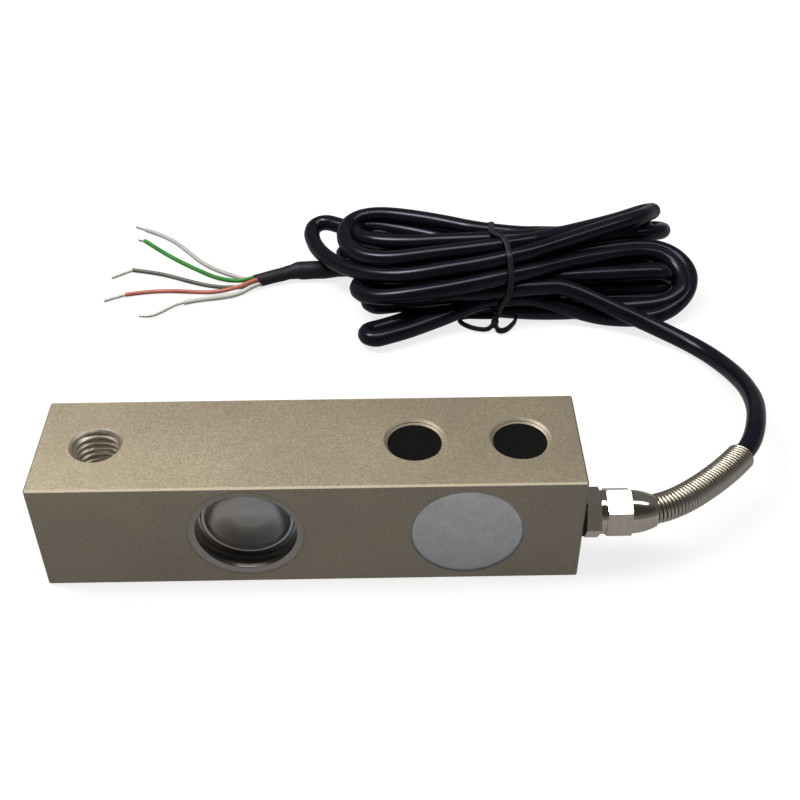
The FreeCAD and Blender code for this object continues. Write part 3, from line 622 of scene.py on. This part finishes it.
slant = np.interp(along, (22.5, 27.0), (0.0, 0.9)) * np.cos(around - 0.5)
ring = np.cos(around)[None, :, None] * aside[:, None] + np.sin(around)[None, :, None] * rise[:, None]
tube_points = sleeve_line[:, None] + reach[..., None] * ring + slant[..., None] * forward[:, None]
sleeve = surface("shrink_tube", tube_points, close_v=True, cap_start=True, cap_end=True)
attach(sleeve, "root")
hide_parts("shrink_sleeve")
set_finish(sleeve, "shrink_tube")
mouth = sleeve_line[-1]
print("sleeve ends at", mouth.round(1))

# %% [markdown]
# ## Cores
# Four insulated cores and the shield's drain wire fan out of the sleeve and lie on the table. Each is a thin
# cord of its own that starts a little way inside the sleeve, beside its neighbours. The bare ends are tinned
# strands, twisted together by hand.

# %% The cores
CORE = 1.45
DRAIN = 0.9
BUNDLE_RADIUS = 1.3
INSIDE_SLEEVE = 3.0
STRAIGHT = 4.0
SHEATH_END = 28.4
SHEATH_RADIUS = 0.8
far_side = np.cross(beyond, (0.0, 0.0, 1.0))
far_side /= np.linalg.norm(far_side)
over = np.cross(far_side, beyond)
fans = {
    "white_core": (-18, CORE, [
        (-29.5, 115.3, 1.2), (-38, 120.8, 0.85), (-44.2, 126.4, 0.75), (-50, 134.3, 0.75),
        (-57.2, 142.3, 0.75), (-65.2, 146.9, 0.75),
    ]),
    "green_core": (54, CORE, [
        (-29.5, 111.9, 2.1), (-37, 115.8, 0.85), (-44, 121, 0.75), (-52, 127.4, 0.75), (-58.8, 133.8, 0.75),
        (-64.6, 139.8, 0.75),
    ]),
    "black_core": (-90, CORE, [
        (-29.5, 110.3, 0.8), (-37, 110.9, 0.75), (-44.5, 113.6, 0.75), (-52, 117.3, 0.75),
        (-58.5, 119.9, 0.75), (-66, 121.6, 0.75),
    ]),
    "red_core": (126, CORE, [
        (-29.5, 108.6, 2.1), (-37, 107.6, 0.85), (-44, 108.3, 0.75), (-52.5, 109.1, 0.75), (-60, 108.6, 0.75),
        (-66.1, 107.2, 0.75),
    ]),
    "drain_wire": (198, DRAIN, [
        (-29, 106.4, 0.9), (-35, 104.6, 0.9), (-41.5, 103.7, 0.9), (-48.4, 101.4, 0.9), (-50.4, 99.8, 0.75),
        (-53.4, 97, 0.6), (-56.6, 94.9, 0.6), (-59.8, 95.6, 0.6),
    ]),
}
tip_ends = {
    "white_core": (-68.9, 149.4, 0.5), "green_core": (-66.9, 140.8, 0.5),
    "black_core": (-72.3, 117.4, 0.5), "red_core": (-72.6, 104.2, 0.5),
}
cores, tips = {}, {}
for name, (turn, diameter, way) in fans.items():
    turn = np.radians(turn)
    root = mouth - INSIDE_SLEEVE * beyond + BUNDLE_RADIUS * (np.cos(turn) * far_side + np.sin(turn) * over)
    points = [root, root + STRAIGHT * beyond, *way]
    cores[name] = cord_curve("free_" + name, points, diameter, steps=10, ring=3)
    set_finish(cores[name], "tinned_copper" if name == "drain_wire" else name)
    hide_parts("shield_end" if name == "drain_wire" else name)
core_length = {name: run_length(centreline(core))[-1] for name, core in cores.items()}
for name, end in tip_ends.items():
    line = centreline(cores[name])
    way = bent_line(np.array([line[-4], line[-1], 0.5 * line[-1] + 0.5 * np.array(end), end]), 60)
    tips[name] = twisted(name + "_tip", way, radius=0.46, lobes=7, pitch=5.0, depth=0.3)
    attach(tips[name], "root")
    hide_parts("tinned_core_ends")
    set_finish(tips[name], "tinned_copper")
drain_line = centreline(cores["drain_wire"])
covered = run_length(drain_line) < SHEATH_END
sheath = tube("drain_sleeve", drain_line[covered], SHEATH_RADIUS, sides=14)
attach(sheath, "root")
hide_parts("shield_sleeve")
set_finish(sheath, "shield_sleeve")
print({name: round(length, 1) for name, length in core_length.items()})

# %% [markdown]
# ## The cords
# The cable, the four cores and the drain wire are laid above.

print("cords laid")

# %% [markdown]
# ## Load thread
# The load hole is tapped with a coarse twelve millimetre thread. On the model its wall is plain, so the turns
# are a thin liner: the distance from the axis is a cut off zigzag of height against pitch, shifted by one
# pitch for each turn round, and a cone at each end cuts the first turn away. The outer side lies buried in
# the steel.

# %% The thread
LOAD_HOLE_X = -51.0
THREAD_PITCH = 1.75
CREST_RADIUS = 5.05
ROOT_RADIUS = 6.0
BURIED_RADIUS = 6.4
THREAD_BOTTOM = 0.5
THREAD_TOP = 31.3
CREST = 0.14
FLANK = 0.72
height = np.linspace(THREAD_BOTTOM, THREAD_TOP, 353)
spin = np.linspace(0, 2 * np.pi, 96, endpoint=False)[:, None]
zigzag = np.abs(((height / THREAD_PITCH - spin / (2 * np.pi)) % 1.0) * 2 - 1)
groove = CREST_RADIUS + (ROOT_RADIUS - CREST_RADIUS) * np.clip((zigzag - CREST) / FLANK, 0, 1)
cone = ROOT_RADIUS - np.minimum(height - THREAD_BOTTOM, THREAD_TOP - height)
section_r = np.hstack([np.maximum(groove, cone), np.full((96, 2), BURIED_RADIUS)])
section_z = np.tile(np.r_[height, THREAD_TOP, THREAD_BOTTOM], (96, 1))
turns = np.stack([LOAD_HOLE_X + section_r * np.cos(spin), section_r * np.sin(spin), section_z], -1)
thread = surface("load_thread_turns", turns, close_u=True, close_v=True)
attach(thread, "root")
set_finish(thread, "plated_steel")
print("thread with", len(thread.data.polygons), "faces")

# %% [markdown]
# ## Rounded pocket edges
# The mouth of each gauge pocket is broken by a shallow cone and a steep one, rounded into each other, and the
# steep one carries a line of light along the lower edge. A slim ring lies on the mouth: a line of points,
# given by its distance from the pocket's axis and its depth, carried round that axis and closed inside the
# steel.

# %% Pocket edges
HALF_WIDTH = 15.9
GAUGE_POCKET = (-15.2, 16.7)


def mouth_ring(name, side, centre, distance, depth, slot):
    """A slim ring in the front (-1) or rear (1) side of the block. The points of its section, given by their
    distance from the axis through centre (an x and a z) and their depth, are carried round that axis."""
    large = np.linspace(0, 2 * np.pi, 160, endpoint=False)[:, None]
    across = centre[0] + distance * np.cos(large)
    upward = centre[1] + distance * np.sin(large)
    ring = np.stack([across, side * (HALF_WIDTH - depth) + 0 * large, upward], -1)
    piece = surface(name, ring[::-side], close_u=True, close_v=True)
    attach(piece, "root")
    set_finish(piece, slot)
    return piece


mouth_line = bent_line(np.array([
    (13.5, 0.0, 0), (13.4, 0.02, 0), (12.8, 0.2, 0), (12.2, 0.36, 0), (12.07, 0.5, 0), (11.94, 0.9, 0),
    (11.8, 1.34, 0), (11.8, 1.5, 0), (11.9, 1.6, 0),
]), 48)
distance = np.r_[14.03, mouth_line[:, 0], 12.4, 14.3]
depth = np.r_[0.0, mouth_line[:, 1], 1.7, 0.9]
rims = [
    mouth_ring(name, side, GAUGE_POCKET, distance, depth, "plated_steel")
    for name, side in (("front_pocket_edge", -1), ("rear_pocket_edge", 1))
]
print(len(rims), "pocket edges")

# %% [markdown]
# ## Seal round the wiring cover
# The cover sits a little below the side of the block in a thin line of sealing compound, wiped hollow with a
# finger. The line fills the gap round the cover, so it is a ring of the same kind with a hollow face.

# %% Cover seal
WIRING_POCKET = (37.4, 15.9)
SEAL_INNER = 13.24
SEAL_OUTER = 13.76
SEAL_DEPTH = 0.9
wiped = bent_line(
    np.array([(SEAL_OUTER, 0.1, 0), (13.7, 0.3, 0), (13.5, 0.42, 0), (SEAL_INNER, 0.43, 0)]), 16
)
distance = np.r_[wiped[:, 0], SEAL_INNER, SEAL_OUTER]
depth = np.r_[wiped[:, 1], SEAL_DEPTH, SEAL_DEPTH]
seal = mouth_ring("cover_seal", -1, WIRING_POCKET, distance, depth, "seal_rubber")
print("cover seal with", len(seal.data.polygons), "faces")

# %% [markdown]
# ## Finishes
# Each finish is a small net of nodes on the object's own coordinates. One helper starts a finish, and others
# add the things that nearly every real surface has: a fine grain, a slow change of tone and small dents. A
# plain finish has just the slow change.

# %% Finish helpers
def finish(name, colour, metallic, roughness):
    """A material with its main shader set to a colour, a metal share and a roughness."""
    material = bpy.data.materials.new(name)
    material.use_nodes = True
    shader = material.node_tree.nodes["Principled BSDF"]
    shader.inputs["Base Color"].default_value = (*colour, 1)
    shader.inputs["Metallic"].default_value = metallic
    shader.inputs["Roughness"].default_value = roughness
    return material, material.node_tree, shader


def grain(tree, scale, detail, stretch=(1, 1, 1)):
    """Noise of a given count per metre over the piece's own coordinates, finer along an axis if wanted."""
    source = tree.nodes.new("ShaderNodeTexCoord")
    place = tree.nodes.new("ShaderNodeMapping")
    place.inputs["Scale"].default_value = stretch
    noise = tree.nodes.new("ShaderNodeTexNoise")
    noise.inputs["Scale"].default_value = scale
    noise.inputs["Detail"].default_value = detail
    tree.links.new(source.outputs["Object"], place.inputs["Vector"])
    tree.links.new(place.outputs["Vector"], noise.inputs["Vector"])
    return noise.outputs["Fac"]


def tones(tree, value, stops):
    """Colours spread over a value from 0 to 1."""
    ramp = tree.nodes.new("ShaderNodeValToRGB")
    ramp.color_ramp.elements.remove(ramp.color_ramp.elements[1])
    for number, (at, colour) in enumerate(stops):
        stop = ramp.color_ramp.elements[0] if number == 0 else ramp.color_ramp.elements.new(at)
        stop.position = at
        stop.color = (*colour, 1)
    tree.links.new(value, ramp.inputs["Fac"])
    return ramp.outputs["Color"]


def spread(tree, value, low, high, start=0.3, end=0.7, shape="LINEAR"):
    """A value from start to end turned into one from low to high, evenly or with soft ends."""
    change = tree.nodes.new("ShaderNodeMapRange")
    change.interpolation_type = shape
    for key, number in (("From Min", start), ("From Max", end), ("To Min", low), ("To Max", high)):
        change.inputs[key].default_value = number
    tree.links.new(value, change.inputs["Value"])
    return change.outputs["Result"]


def blended(tree, share, first, second):
    """A colour that goes from the first to the second as share goes from 0 to 1."""
    mix = tree.nodes.new("ShaderNodeMix")
    mix.data_type = "RGBA"
    tree.links.new(share, mix.inputs["Factor"])
    tree.links.new(first, mix.inputs["A"])
    tree.links.new(second, mix.inputs["B"])
    return mix.outputs["Result"]


def dents(tree, shader, value, strength, depth):
    """A bump of the given depth in millimetres from a value."""
    bump = tree.nodes.new("ShaderNodeBump")
    bump.inputs["Strength"].default_value = strength
    bump.inputs["Distance"].default_value = depth * MM
    if shader.inputs["Normal"].is_linked:
        tree.links.new(shader.inputs["Normal"].links[0].from_socket, bump.inputs["Normal"])
    tree.links.new(value, bump.inputs["Height"])
    tree.links.new(bump.outputs["Normal"], shader.inputs["Normal"])


def coordinates(tree):
    """The x, y and z of each point of a piece, in metres."""
    source = tree.nodes.new("ShaderNodeTexCoord")
    split = tree.nodes.new("ShaderNodeSeparateXYZ")
    tree.links.new(source.outputs["Object"], split.inputs["Vector"])
    return split.outputs["X"], split.outputs["Y"], split.outputs["Z"]


def plain_finish(name, deep, pale, metallic, smooth, dull, scale):
    """A finish with a slow change of tone and of gloss."""
    material, tree, shader = finish(name, deep, metallic, smooth)
    slow = grain(tree, scale, 3)
    tree.links.new(tones(tree, slow, [(0.3, deep), (0.7, pale)]), shader.inputs["Base Color"])
    tree.links.new(spread(tree, slow, smooth, dull), shader.inputs["Roughness"])
    return material


finishes = {}
print("helpers ready")

# %% [markdown]
# ## Telling faces apart
# One block has faces of several kinds. Which kind a point belongs to is told by its distance from the axis of
# a hole or pocket, so the nodes below do a little arithmetic on coordinates.

# %% Telling faces apart
def axis_distance(tree, centre, keep):
    """The distance of each point from an axis through centre, in metres. keep is 0 along the axis and 1
    across it."""
    source = tree.nodes.new("ShaderNodeTexCoord")
    shift = tree.nodes.new("ShaderNodeVectorMath")
    shift.operation = "SUBTRACT"
    shift.inputs[1].default_value = np.array(centre) * MM
    flat = tree.nodes.new("ShaderNodeVectorMath")
    flat.operation = "MULTIPLY"
    flat.inputs[1].default_value = keep
    size = tree.nodes.new("ShaderNodeVectorMath")
    size.operation = "LENGTH"
    tree.links.new(source.outputs["Object"], shift.inputs[0])
    tree.links.new(shift.outputs["Vector"], flat.inputs[0])
    tree.links.new(flat.outputs["Vector"], size.inputs[0])
    return size.outputs["Value"]


def combined(tree, operation, first, second):
    """Two values joined by an operation; the second may be a plain number."""
    node = tree.nodes.new("ShaderNodeMath")
    node.operation = operation
    tree.links.new(first, node.inputs[0])
    if isinstance(second, float):
        node.inputs[1].default_value = second
    else:
        tree.links.new(second, node.inputs[1])
    return node.outputs["Value"]


def within(tree, value, limit):
    """1 where a value is under a limit in millimetres, and 0 elsewhere."""
    return combined(tree, "LESS_THAN", value, limit * MM)


print("distances ready")

# %% [markdown]
# ## Blasted and plated steel
# The block is milled, bead blasted and nickel plated, and its holes and pockets are cut afterwards. Blasting
# leaves a fine grain that spreads its shine, and the plating is a warm grey that varies slowly along the
# block. The pockets' faces are smooth and cooler in tone. Painted shade darkens the gauge pocket's bore, the
# holes' walls, the bottom of the block and a little of its right end, and the edges along the top and the
# mouths of the holes carry a painted highlight. The holes' walls also glow a very little, for the light that
# bounces in them.

# %% Plated steel
MOUNTING_HOLES_X = (25.2, 50.6)
ACROSS_Y = (1, 0, 1)
ACROSS_Z = (1, 1, 0)
GAUGE_MOUTH = 13.42
GAUGE_BORE = 11.95
BORE_MOUTH_Y = 14.3
WIRING_MOUTH = 13.8
LOAD_HOLE_LIP = 6.52
MOUNTING_HOLE_LIP = 7.52
MOUNTING_HOLE_WALL = 6.55
TOP_EDGE_SUM = 47.27
material, tree, shader = finish("blasted_nickel", (0.5, 0.44, 0.34), 1.0, 0.5)
fine = grain(tree, 2400, 3)
slow = grain(tree, 38, 3)
x, y, z = coordinates(tree)
off_middle = combined(tree, "ABSOLUTE", y, 0.0)

# The kinds of face. Each of cut, bore, edge, lips and wall is 1 on its faces and 0 elsewhere, but in the load
# hole wall fades out towards the top.
gauge_pocket = axis_distance(tree, (GAUGE_POCKET[0], 0, GAUGE_POCKET[1]), ACROSS_Y)
wiring_pocket = axis_distance(tree, (WIRING_POCKET[0], 0, WIRING_POCKET[1]), ACROSS_Y)
wiring_cut = combined(tree, "MULTIPLY", within(tree, wiring_pocket, WIRING_MOUTH), within(tree, y, 0.0))
cut = combined(tree, "MAXIMUM", within(tree, gauge_pocket, GAUGE_MOUTH), wiring_cut)
below_mouth = within(tree, off_middle, BORE_MOUTH_Y)
bore = combined(tree, "MULTIPLY", within(tree, gauge_pocket, GAUGE_BORE), below_mouth)
edge = combined(tree, "GREATER_THAN", combined(tree, "ADD", off_middle, z), TOP_EDGE_SUM * MM)
lips = within(tree, axis_distance(tree, (LOAD_HOLE_X, 0, 0), ACROSS_Z), LOAD_HOLE_LIP)
wall = combined(tree, "MULTIPLY", lips, spread(tree, z, 1.0, 0.0, 20 * MM, 30 * MM))
for hole_x in MOUNTING_HOLES_X:
    hole = axis_distance(tree, (hole_x, 0, 0), ACROSS_Z)
    lips = combined(tree, "MAXIMUM", lips, within(tree, hole, MOUNTING_HOLE_LIP))
    wall = combined(tree, "MAXIMUM", wall, within(tree, hole, MOUNTING_HOLE_WALL))

# First the tones, and then the block's tone with one kind of face after another laid over it.
light = tones(
    tree, fine, [(0.34, (0.45, 0.39, 0.29)), (0.5, (0.53, 0.465, 0.355)), (0.68, (0.61, 0.54, 0.42))]
)
dark = tones(
    tree, fine, [(0.34, (0.40, 0.35, 0.265)), (0.5, (0.475, 0.415, 0.32)), (0.68, (0.55, 0.485, 0.38))]
)
# A pale colour for painted highlights.
painted_highlight = tones(tree, fine, [(0.3, (0.86, 0.79, 0.65)), (0.7, (0.96, 0.89, 0.75))])
machined = tones(tree, slow, [(0.3, (0.42, 0.40, 0.37)), (0.7, (0.47, 0.45, 0.42))])
# Near black, the colour of painted shade.
painted_shade = tones(tree, slow, [(0.3, (0.012, 0.011, 0.010)), (0.7, (0.02, 0.018, 0.016))])
# Painted shade: the gauge pocket's bore is darker.
machined = blended(tree, combined(tree, "MULTIPLY", bore, 0.45), machined, painted_shade)
body = blended(tree, spread(tree, slow, 0, 1, 0.35, 0.65), dark, light)
# Painted shade: the block is darker towards its bottom and, a little, towards its right end.
body = blended(tree, spread(tree, z, 0.16, 0.0, 0.0, 31 * MM), body, painted_shade)
body = blended(tree, spread(tree, x, 0.0, 0.1, 0.0, 65 * MM), body, painted_shade)
# Painted highlight, at half strength, on the mouths of the holes.
body = blended(tree, combined(tree, "MULTIPLY", lips, 0.5), body, painted_highlight)
body = blended(tree, cut, body, machined)
# Painted highlight along the top edges.
body = blended(tree, edge, body, painted_highlight)
# Painted shade: the holes' walls are near black, and in the load hole only deeper down.
body = blended(tree, wall, body, painted_shade)
tree.links.new(body, shader.inputs["Base Color"])
# Painted light: the holes' walls glow a very little, for the light that bounces in them.
shader.inputs["Emission Color"].default_value = (1.0, 0.97, 0.94, 1)
tree.links.new(combined(tree, "MULTIPLY", wall, 0.009), shader.inputs["Emission Strength"])
material.cycles.emission_sampling = "NONE"

# Blasted faces are -1 here and cut ones 0, so only the blasted ones are rough and grainy.
blasted = combined(tree, "SUBTRACT", cut, 1.0)
rough = combined(tree, "MULTIPLY", spread(tree, fine, -0.19, -0.25), blasted)
rough = combined(tree, "ADD", rough, combined(tree, "MULTIPLY", edge, 0.2))
tree.links.new(combined(tree, "ADD", rough, 0.3), shader.inputs["Roughness"])
dents(tree, shader, combined(tree, "MULTIPLY", fine, blasted), 0.3, 0.05)
finishes["plated_steel"] = material
print(material.name)

# %% [markdown]
# ## Pressed cups
# The cup in the gauge pocket is bright pressed sheet. Its tone goes from warm to cool across it, and a wide
# hollow above its middle carries the soft shading of a dish. The hollow is a bump, which only tilts the
# light, because the floor's own form is in the frame.

# %% Pressed sheet
HOLLOW = (GAUGE_POCKET[0], 0, 24.7)
material, tree, shader = finish("pressed_sheet", (0.64, 0.62, 0.59), 1.0, 0.3)
slow = grain(tree, 120, 4)
warm = tones(tree, slow, [(0.3, (0.55, 0.51, 0.45)), (0.7, (0.63, 0.59, 0.53))])
cool = tones(tree, slow, [(0.3, (0.50, 0.51, 0.52)), (0.7, (0.58, 0.59, 0.60))])
along_beam = spread(tree, coordinates(tree)[0], 0, 1, -22 * MM, -6 * MM)
tree.links.new(blended(tree, along_beam, warm, cool), shader.inputs["Base Color"])
tree.links.new(spread(tree, slow, 0.26, 0.34), shader.inputs["Roughness"])
dents(tree, shader, grain(tree, 900, 3), 0.05, 0.03)
bowl = axis_distance(tree, HOLLOW, ACROSS_Y)
dents(tree, shader, spread(tree, bowl, 0.0, 1.0, 6.0 * MM, 17.6 * MM, "SMOOTHSTEP"), 1.0, 3.5)
finishes["pressed_steel"] = material
print(material.name)

# %% [markdown]
# ## Wiring cover
# The cover is a satin disc of bright steel. Tumbling and handling leave it mottled with small scuffs, and
# its lower part is darker with painted shade.

# %% Satin cover
material, tree, shader = finish("satin_cover", (0.76, 0.77, 0.79), 1.0, 0.5)
fine = grain(tree, 1500, 3)
scuff = grain(tree, 420, 5)
light = tones(tree, fine, [(0.3, (0.88, 0.88, 0.87)), (0.7, (0.98, 0.98, 0.97))])
dark = tones(tree, fine, [(0.3, (0.72, 0.72, 0.71)), (0.7, (0.86, 0.86, 0.85))])
shaded_low = tones(tree, fine, [(0.3, (0.42, 0.42, 0.43)), (0.7, (0.5, 0.5, 0.51))])
satin = blended(tree, spread(tree, scuff, 0, 1), dark, light)
# Painted shade: the disc is darker towards its bottom.
low_shade_share = spread(tree, coordinates(tree)[2], 0.65, 0.0, 2.5 * MM, 29 * MM)
tree.links.new(blended(tree, low_shade_share, satin, shaded_low), shader.inputs["Base Color"])
tree.links.new(spread(tree, fine, 0.46, 0.56), shader.inputs["Roughness"])
dents(tree, shader, scuff, 0.1, 0.03)
finishes["cover_steel"] = material
print(material.name)

# %% [markdown]
# ## Gland, spring and thread
# The gland is bright plated brass with turning marks, which are noise drawn fine along its axis. The spring
# is smooth drawn wire. The thread is cut bare steel with a film of oil, so it is a little darker and softer.

# %% Gland, wire and thread
material, tree, shader = finish("plated_brass", (0.75, 0.69, 0.6), 1.0, 0.12)
marks = grain(tree, 120, 3, (5, 1, 1))
brass = tones(tree, marks, [(0.3, (0.72, 0.65, 0.54)), (0.7, (0.80, 0.73, 0.62))])
tree.links.new(brass, shader.inputs["Base Color"])
tree.links.new(spread(tree, marks, 0.09, 0.14), shader.inputs["Roughness"])
dents(tree, shader, marks, 0.02, 0.02)
finishes["gland_metal"] = material
finishes["spring_steel"] = plain_finish(
    "drawn_wire", (0.60, 0.55, 0.48), (0.68, 0.63, 0.55), 1.0, 0.26, 0.31, 900
)
cut_thread = plain_finish("cut_thread", (0.44, 0.40, 0.34), (0.50, 0.46, 0.40), 0.9, 0.33, 0.37, 700)
print("gland, wire and thread ready")

# %% [markdown]
# ## Cable jacket, sleeve, tie and seals
# The jacket is near black and smooth enough to carry a clear line of light. Handling leaves a few duller
# patches, and the extruded surface is never quite even. The shrink sleeve and the rubber are duller, and the
# block and the resistors inside the beam are dark plastic and glaze of the same kind. The line of sealing
# compound round the cover is grey.

# %% Black plastics
def black_plastic(name, low, high, smooth, dull, scale, depth):
    """A dark plastic whose tone and gloss vary slowly, with a fine unevenness."""
    material, tree, shader = finish(name, low, 0.0, smooth)
    shader.inputs["Specular IOR Level"].default_value = 0.36
    shader.inputs["Specular Tint"].default_value = (0.75, 0.75, 1.0, 1)
    slow = grain(tree, scale, 4)
    tree.links.new(tones(tree, slow, [(0.3, low), (0.7, high)]), shader.inputs["Base Color"])
    tree.links.new(spread(tree, slow, smooth, dull), shader.inputs["Roughness"])
    dents(tree, shader, grain(tree, scale * 14, 2), 0.15, depth)
    return material


blacks = {
    "cable_jacket": ("black_jacket", (0.004, 0.004, 0.008), (0.007, 0.007, 0.012), 0.2, 0.27, 90, 0.03),
    "shrink_tube": ("black_shrink", (0.012, 0.012, 0.013), (0.022, 0.022, 0.024), 0.42, 0.55, 200, 0.06),
    "tie_wire": ("black_tie", (0.012, 0.012, 0.013), (0.024, 0.023, 0.022), 0.3, 0.42, 200, 0.03),
    "seal_rubber": ("black_rubber", (0.012, 0.012, 0.012), (0.025, 0.025, 0.025), 0.6, 0.75, 300, 0.06),
    "terminal_block": ("block_plastic", (0.02, 0.02, 0.022), (0.035, 0.035, 0.04), 0.45, 0.6, 300, 0.03),
    "resistor": ("resistor_glaze", (0.015, 0.015, 0.02), (0.03, 0.03, 0.035), 0.15, 0.25, 500, 0.01),
}
for slot, values in blacks.items():
    finishes[slot] = black_plastic(*values)
sealant = plain_finish("grey_sealant", (0.40, 0.40, 0.42), (0.50, 0.50, 0.52), 0.0, 0.4, 0.5, 400)
print(len(blacks), "black plastics and the sealant ready")

# %% [markdown]
# ## Coloured cores and bare copper
# Core insulation is a thin soft plastic in plain colours, paler where it was bent or nicked. Bare ends are
# tinned strands, so their tone and gloss change from one fine speck to the next.

# %% Cores and copper
def core_plastic(name, deep, pale):
    """A coloured insulation that goes from a deep to a paler tone in slow patches."""
    material, tree, shader = finish(name, deep, 0.0, 0.4)
    slow = grain(tree, 160, 3)
    tree.links.new(tones(tree, slow, [(0.32, deep), (0.68, pale)]), shader.inputs["Base Color"])
    tree.links.new(spread(tree, slow, 0.34, 0.5), shader.inputs["Roughness"])
    dents(tree, shader, grain(tree, 2500, 2), 0.12, 0.02)
    return material


insulation = {
    "green_core": ("green_insulation", (0.028, 0.25, 0.03), (0.05, 0.33, 0.055)),
    "white_core": ("white_insulation", (0.50, 0.50, 0.51), (0.60, 0.60, 0.61)),
    "black_core": ("grey_black_insulation", (0.10, 0.105, 0.095), (0.17, 0.175, 0.16)),
    "red_core": ("red_insulation", (0.52, 0.13, 0.09), (0.62, 0.22, 0.17)),
    "shield_sleeve": ("clear_white_sleeve", (0.6, 0.6, 0.58), (0.74, 0.74, 0.72)),
    "inner_core": ("inner_insulation", (0.55, 0.55, 0.52), (0.7, 0.7, 0.68)),
}
for slot, values in insulation.items():
    finishes[slot] = core_plastic(*values)
material, tree, shader = finish("tinned_strands", (0.6, 0.59, 0.56), 0.5, 0.35)
strands = grain(tree, 1800, 2)
tin = tones(tree, strands, [(0.3, (0.5, 0.49, 0.46)), (0.7, (0.72, 0.71, 0.68))])
tree.links.new(tin, shader.inputs["Base Color"])
tree.links.new(spread(tree, strands, 0.28, 0.46), shader.inputs["Roughness"])
dents(tree, shader, strands, 0.3, 0.05)
finishes["tinned_copper"] = material
print("cores ready")

# %% [markdown]
# ## Inside the block
# The gauges, tabs, wires and board are hidden by the cups and the cover, but an opened model shows them, so
# they have their own finishes too.

# %% Hidden pieces
hidden = {
    "gauge_foil": ("gauge_film", (0.5, 0.33, 0.12), (0.66, 0.48, 0.22), 0.0, 0.3, 0.45, 700),
    "solder_tab": ("copper_tab", (0.6, 0.36, 0.16), (0.75, 0.5, 0.25), 1.0, 0.25, 0.4, 700),
    "fine_wire": ("enamelled_wire", (0.3, 0.08, 0.03), (0.45, 0.15, 0.06), 0.3, 0.25, 0.35, 900),
    "circuit_board": ("board_lacquer", (0.015, 0.12, 0.04), (0.03, 0.18, 0.07), 0.0, 0.3, 0.45, 500),
}
for slot, values in hidden.items():
    finishes[slot] = plain_finish(*values)
print(len(finishes), "finishes")

# %% [markdown]
# ## White table and dark card
# The table is matte white and glows like a light table. The card is matte black painted shade and glows
# only just enough to keep the holes over it from being quite black.

# %% Floor finish
def matte_glow(name, colour, glow):
    """A finish with no shine that gives off a little white light."""
    material, tree, shader = finish(name, colour, 0.0, 0.9)
    shader.inputs["Specular IOR Level"].default_value = 0.0
    shader.inputs["Emission Color"].default_value = (1, 1, 1, 1)
    shader.inputs["Emission Strength"].default_value = glow
    material.cycles.emission_sampling = "NONE"
    return material, tree, shader


table, tree, shader = matte_glow("white_table", (0.3, 0.3, 0.3), 0.8)
cloud = tones(tree, grain(tree, 20, 2), [(0.3, (0.29, 0.29, 0.29)), (0.7, (0.31, 0.31, 0.31))])
tree.links.new(cloud, shader.inputs["Base Color"])
floor.data.materials.append(table)
card.data.materials.append(matte_glow("shade_card_black", (0.004, 0.004, 0.004), 0.008)[0])
print("floor and card finished")

# %% [markdown]
# ## Putting the finishes on
# A node of the frame takes the finish of its slot in the record, and a new piece the finish of the slot that
# it was given. The thread and the sealing compound then take their own.

# %% Put the finishes on
slot_of = {row["node"]: row["material_slot"] for row in frame["record"]["subparts"]}
for name, piece in nodes.items():
    piece.data.materials.clear()
    piece.data.materials.append(finishes[slot_of[name]])
made = [cable, spring, *tie_pieces, sleeve, sheath, thread, *rims, seal, *cores.values(), *tips.values()]
for piece in made:
    piece.data.materials.append(finishes[piece["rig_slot"]])
thread.data.materials[0] = cut_thread
seal.data.materials[0] = sealant
print("finishes on", len(nodes) + len(made), "pieces")

# %% [markdown]
# ## Finishing
# The view layer is brought up to date, so that every piece stands where it was put.

# %% Finish
bpy.context.view_layer.update()
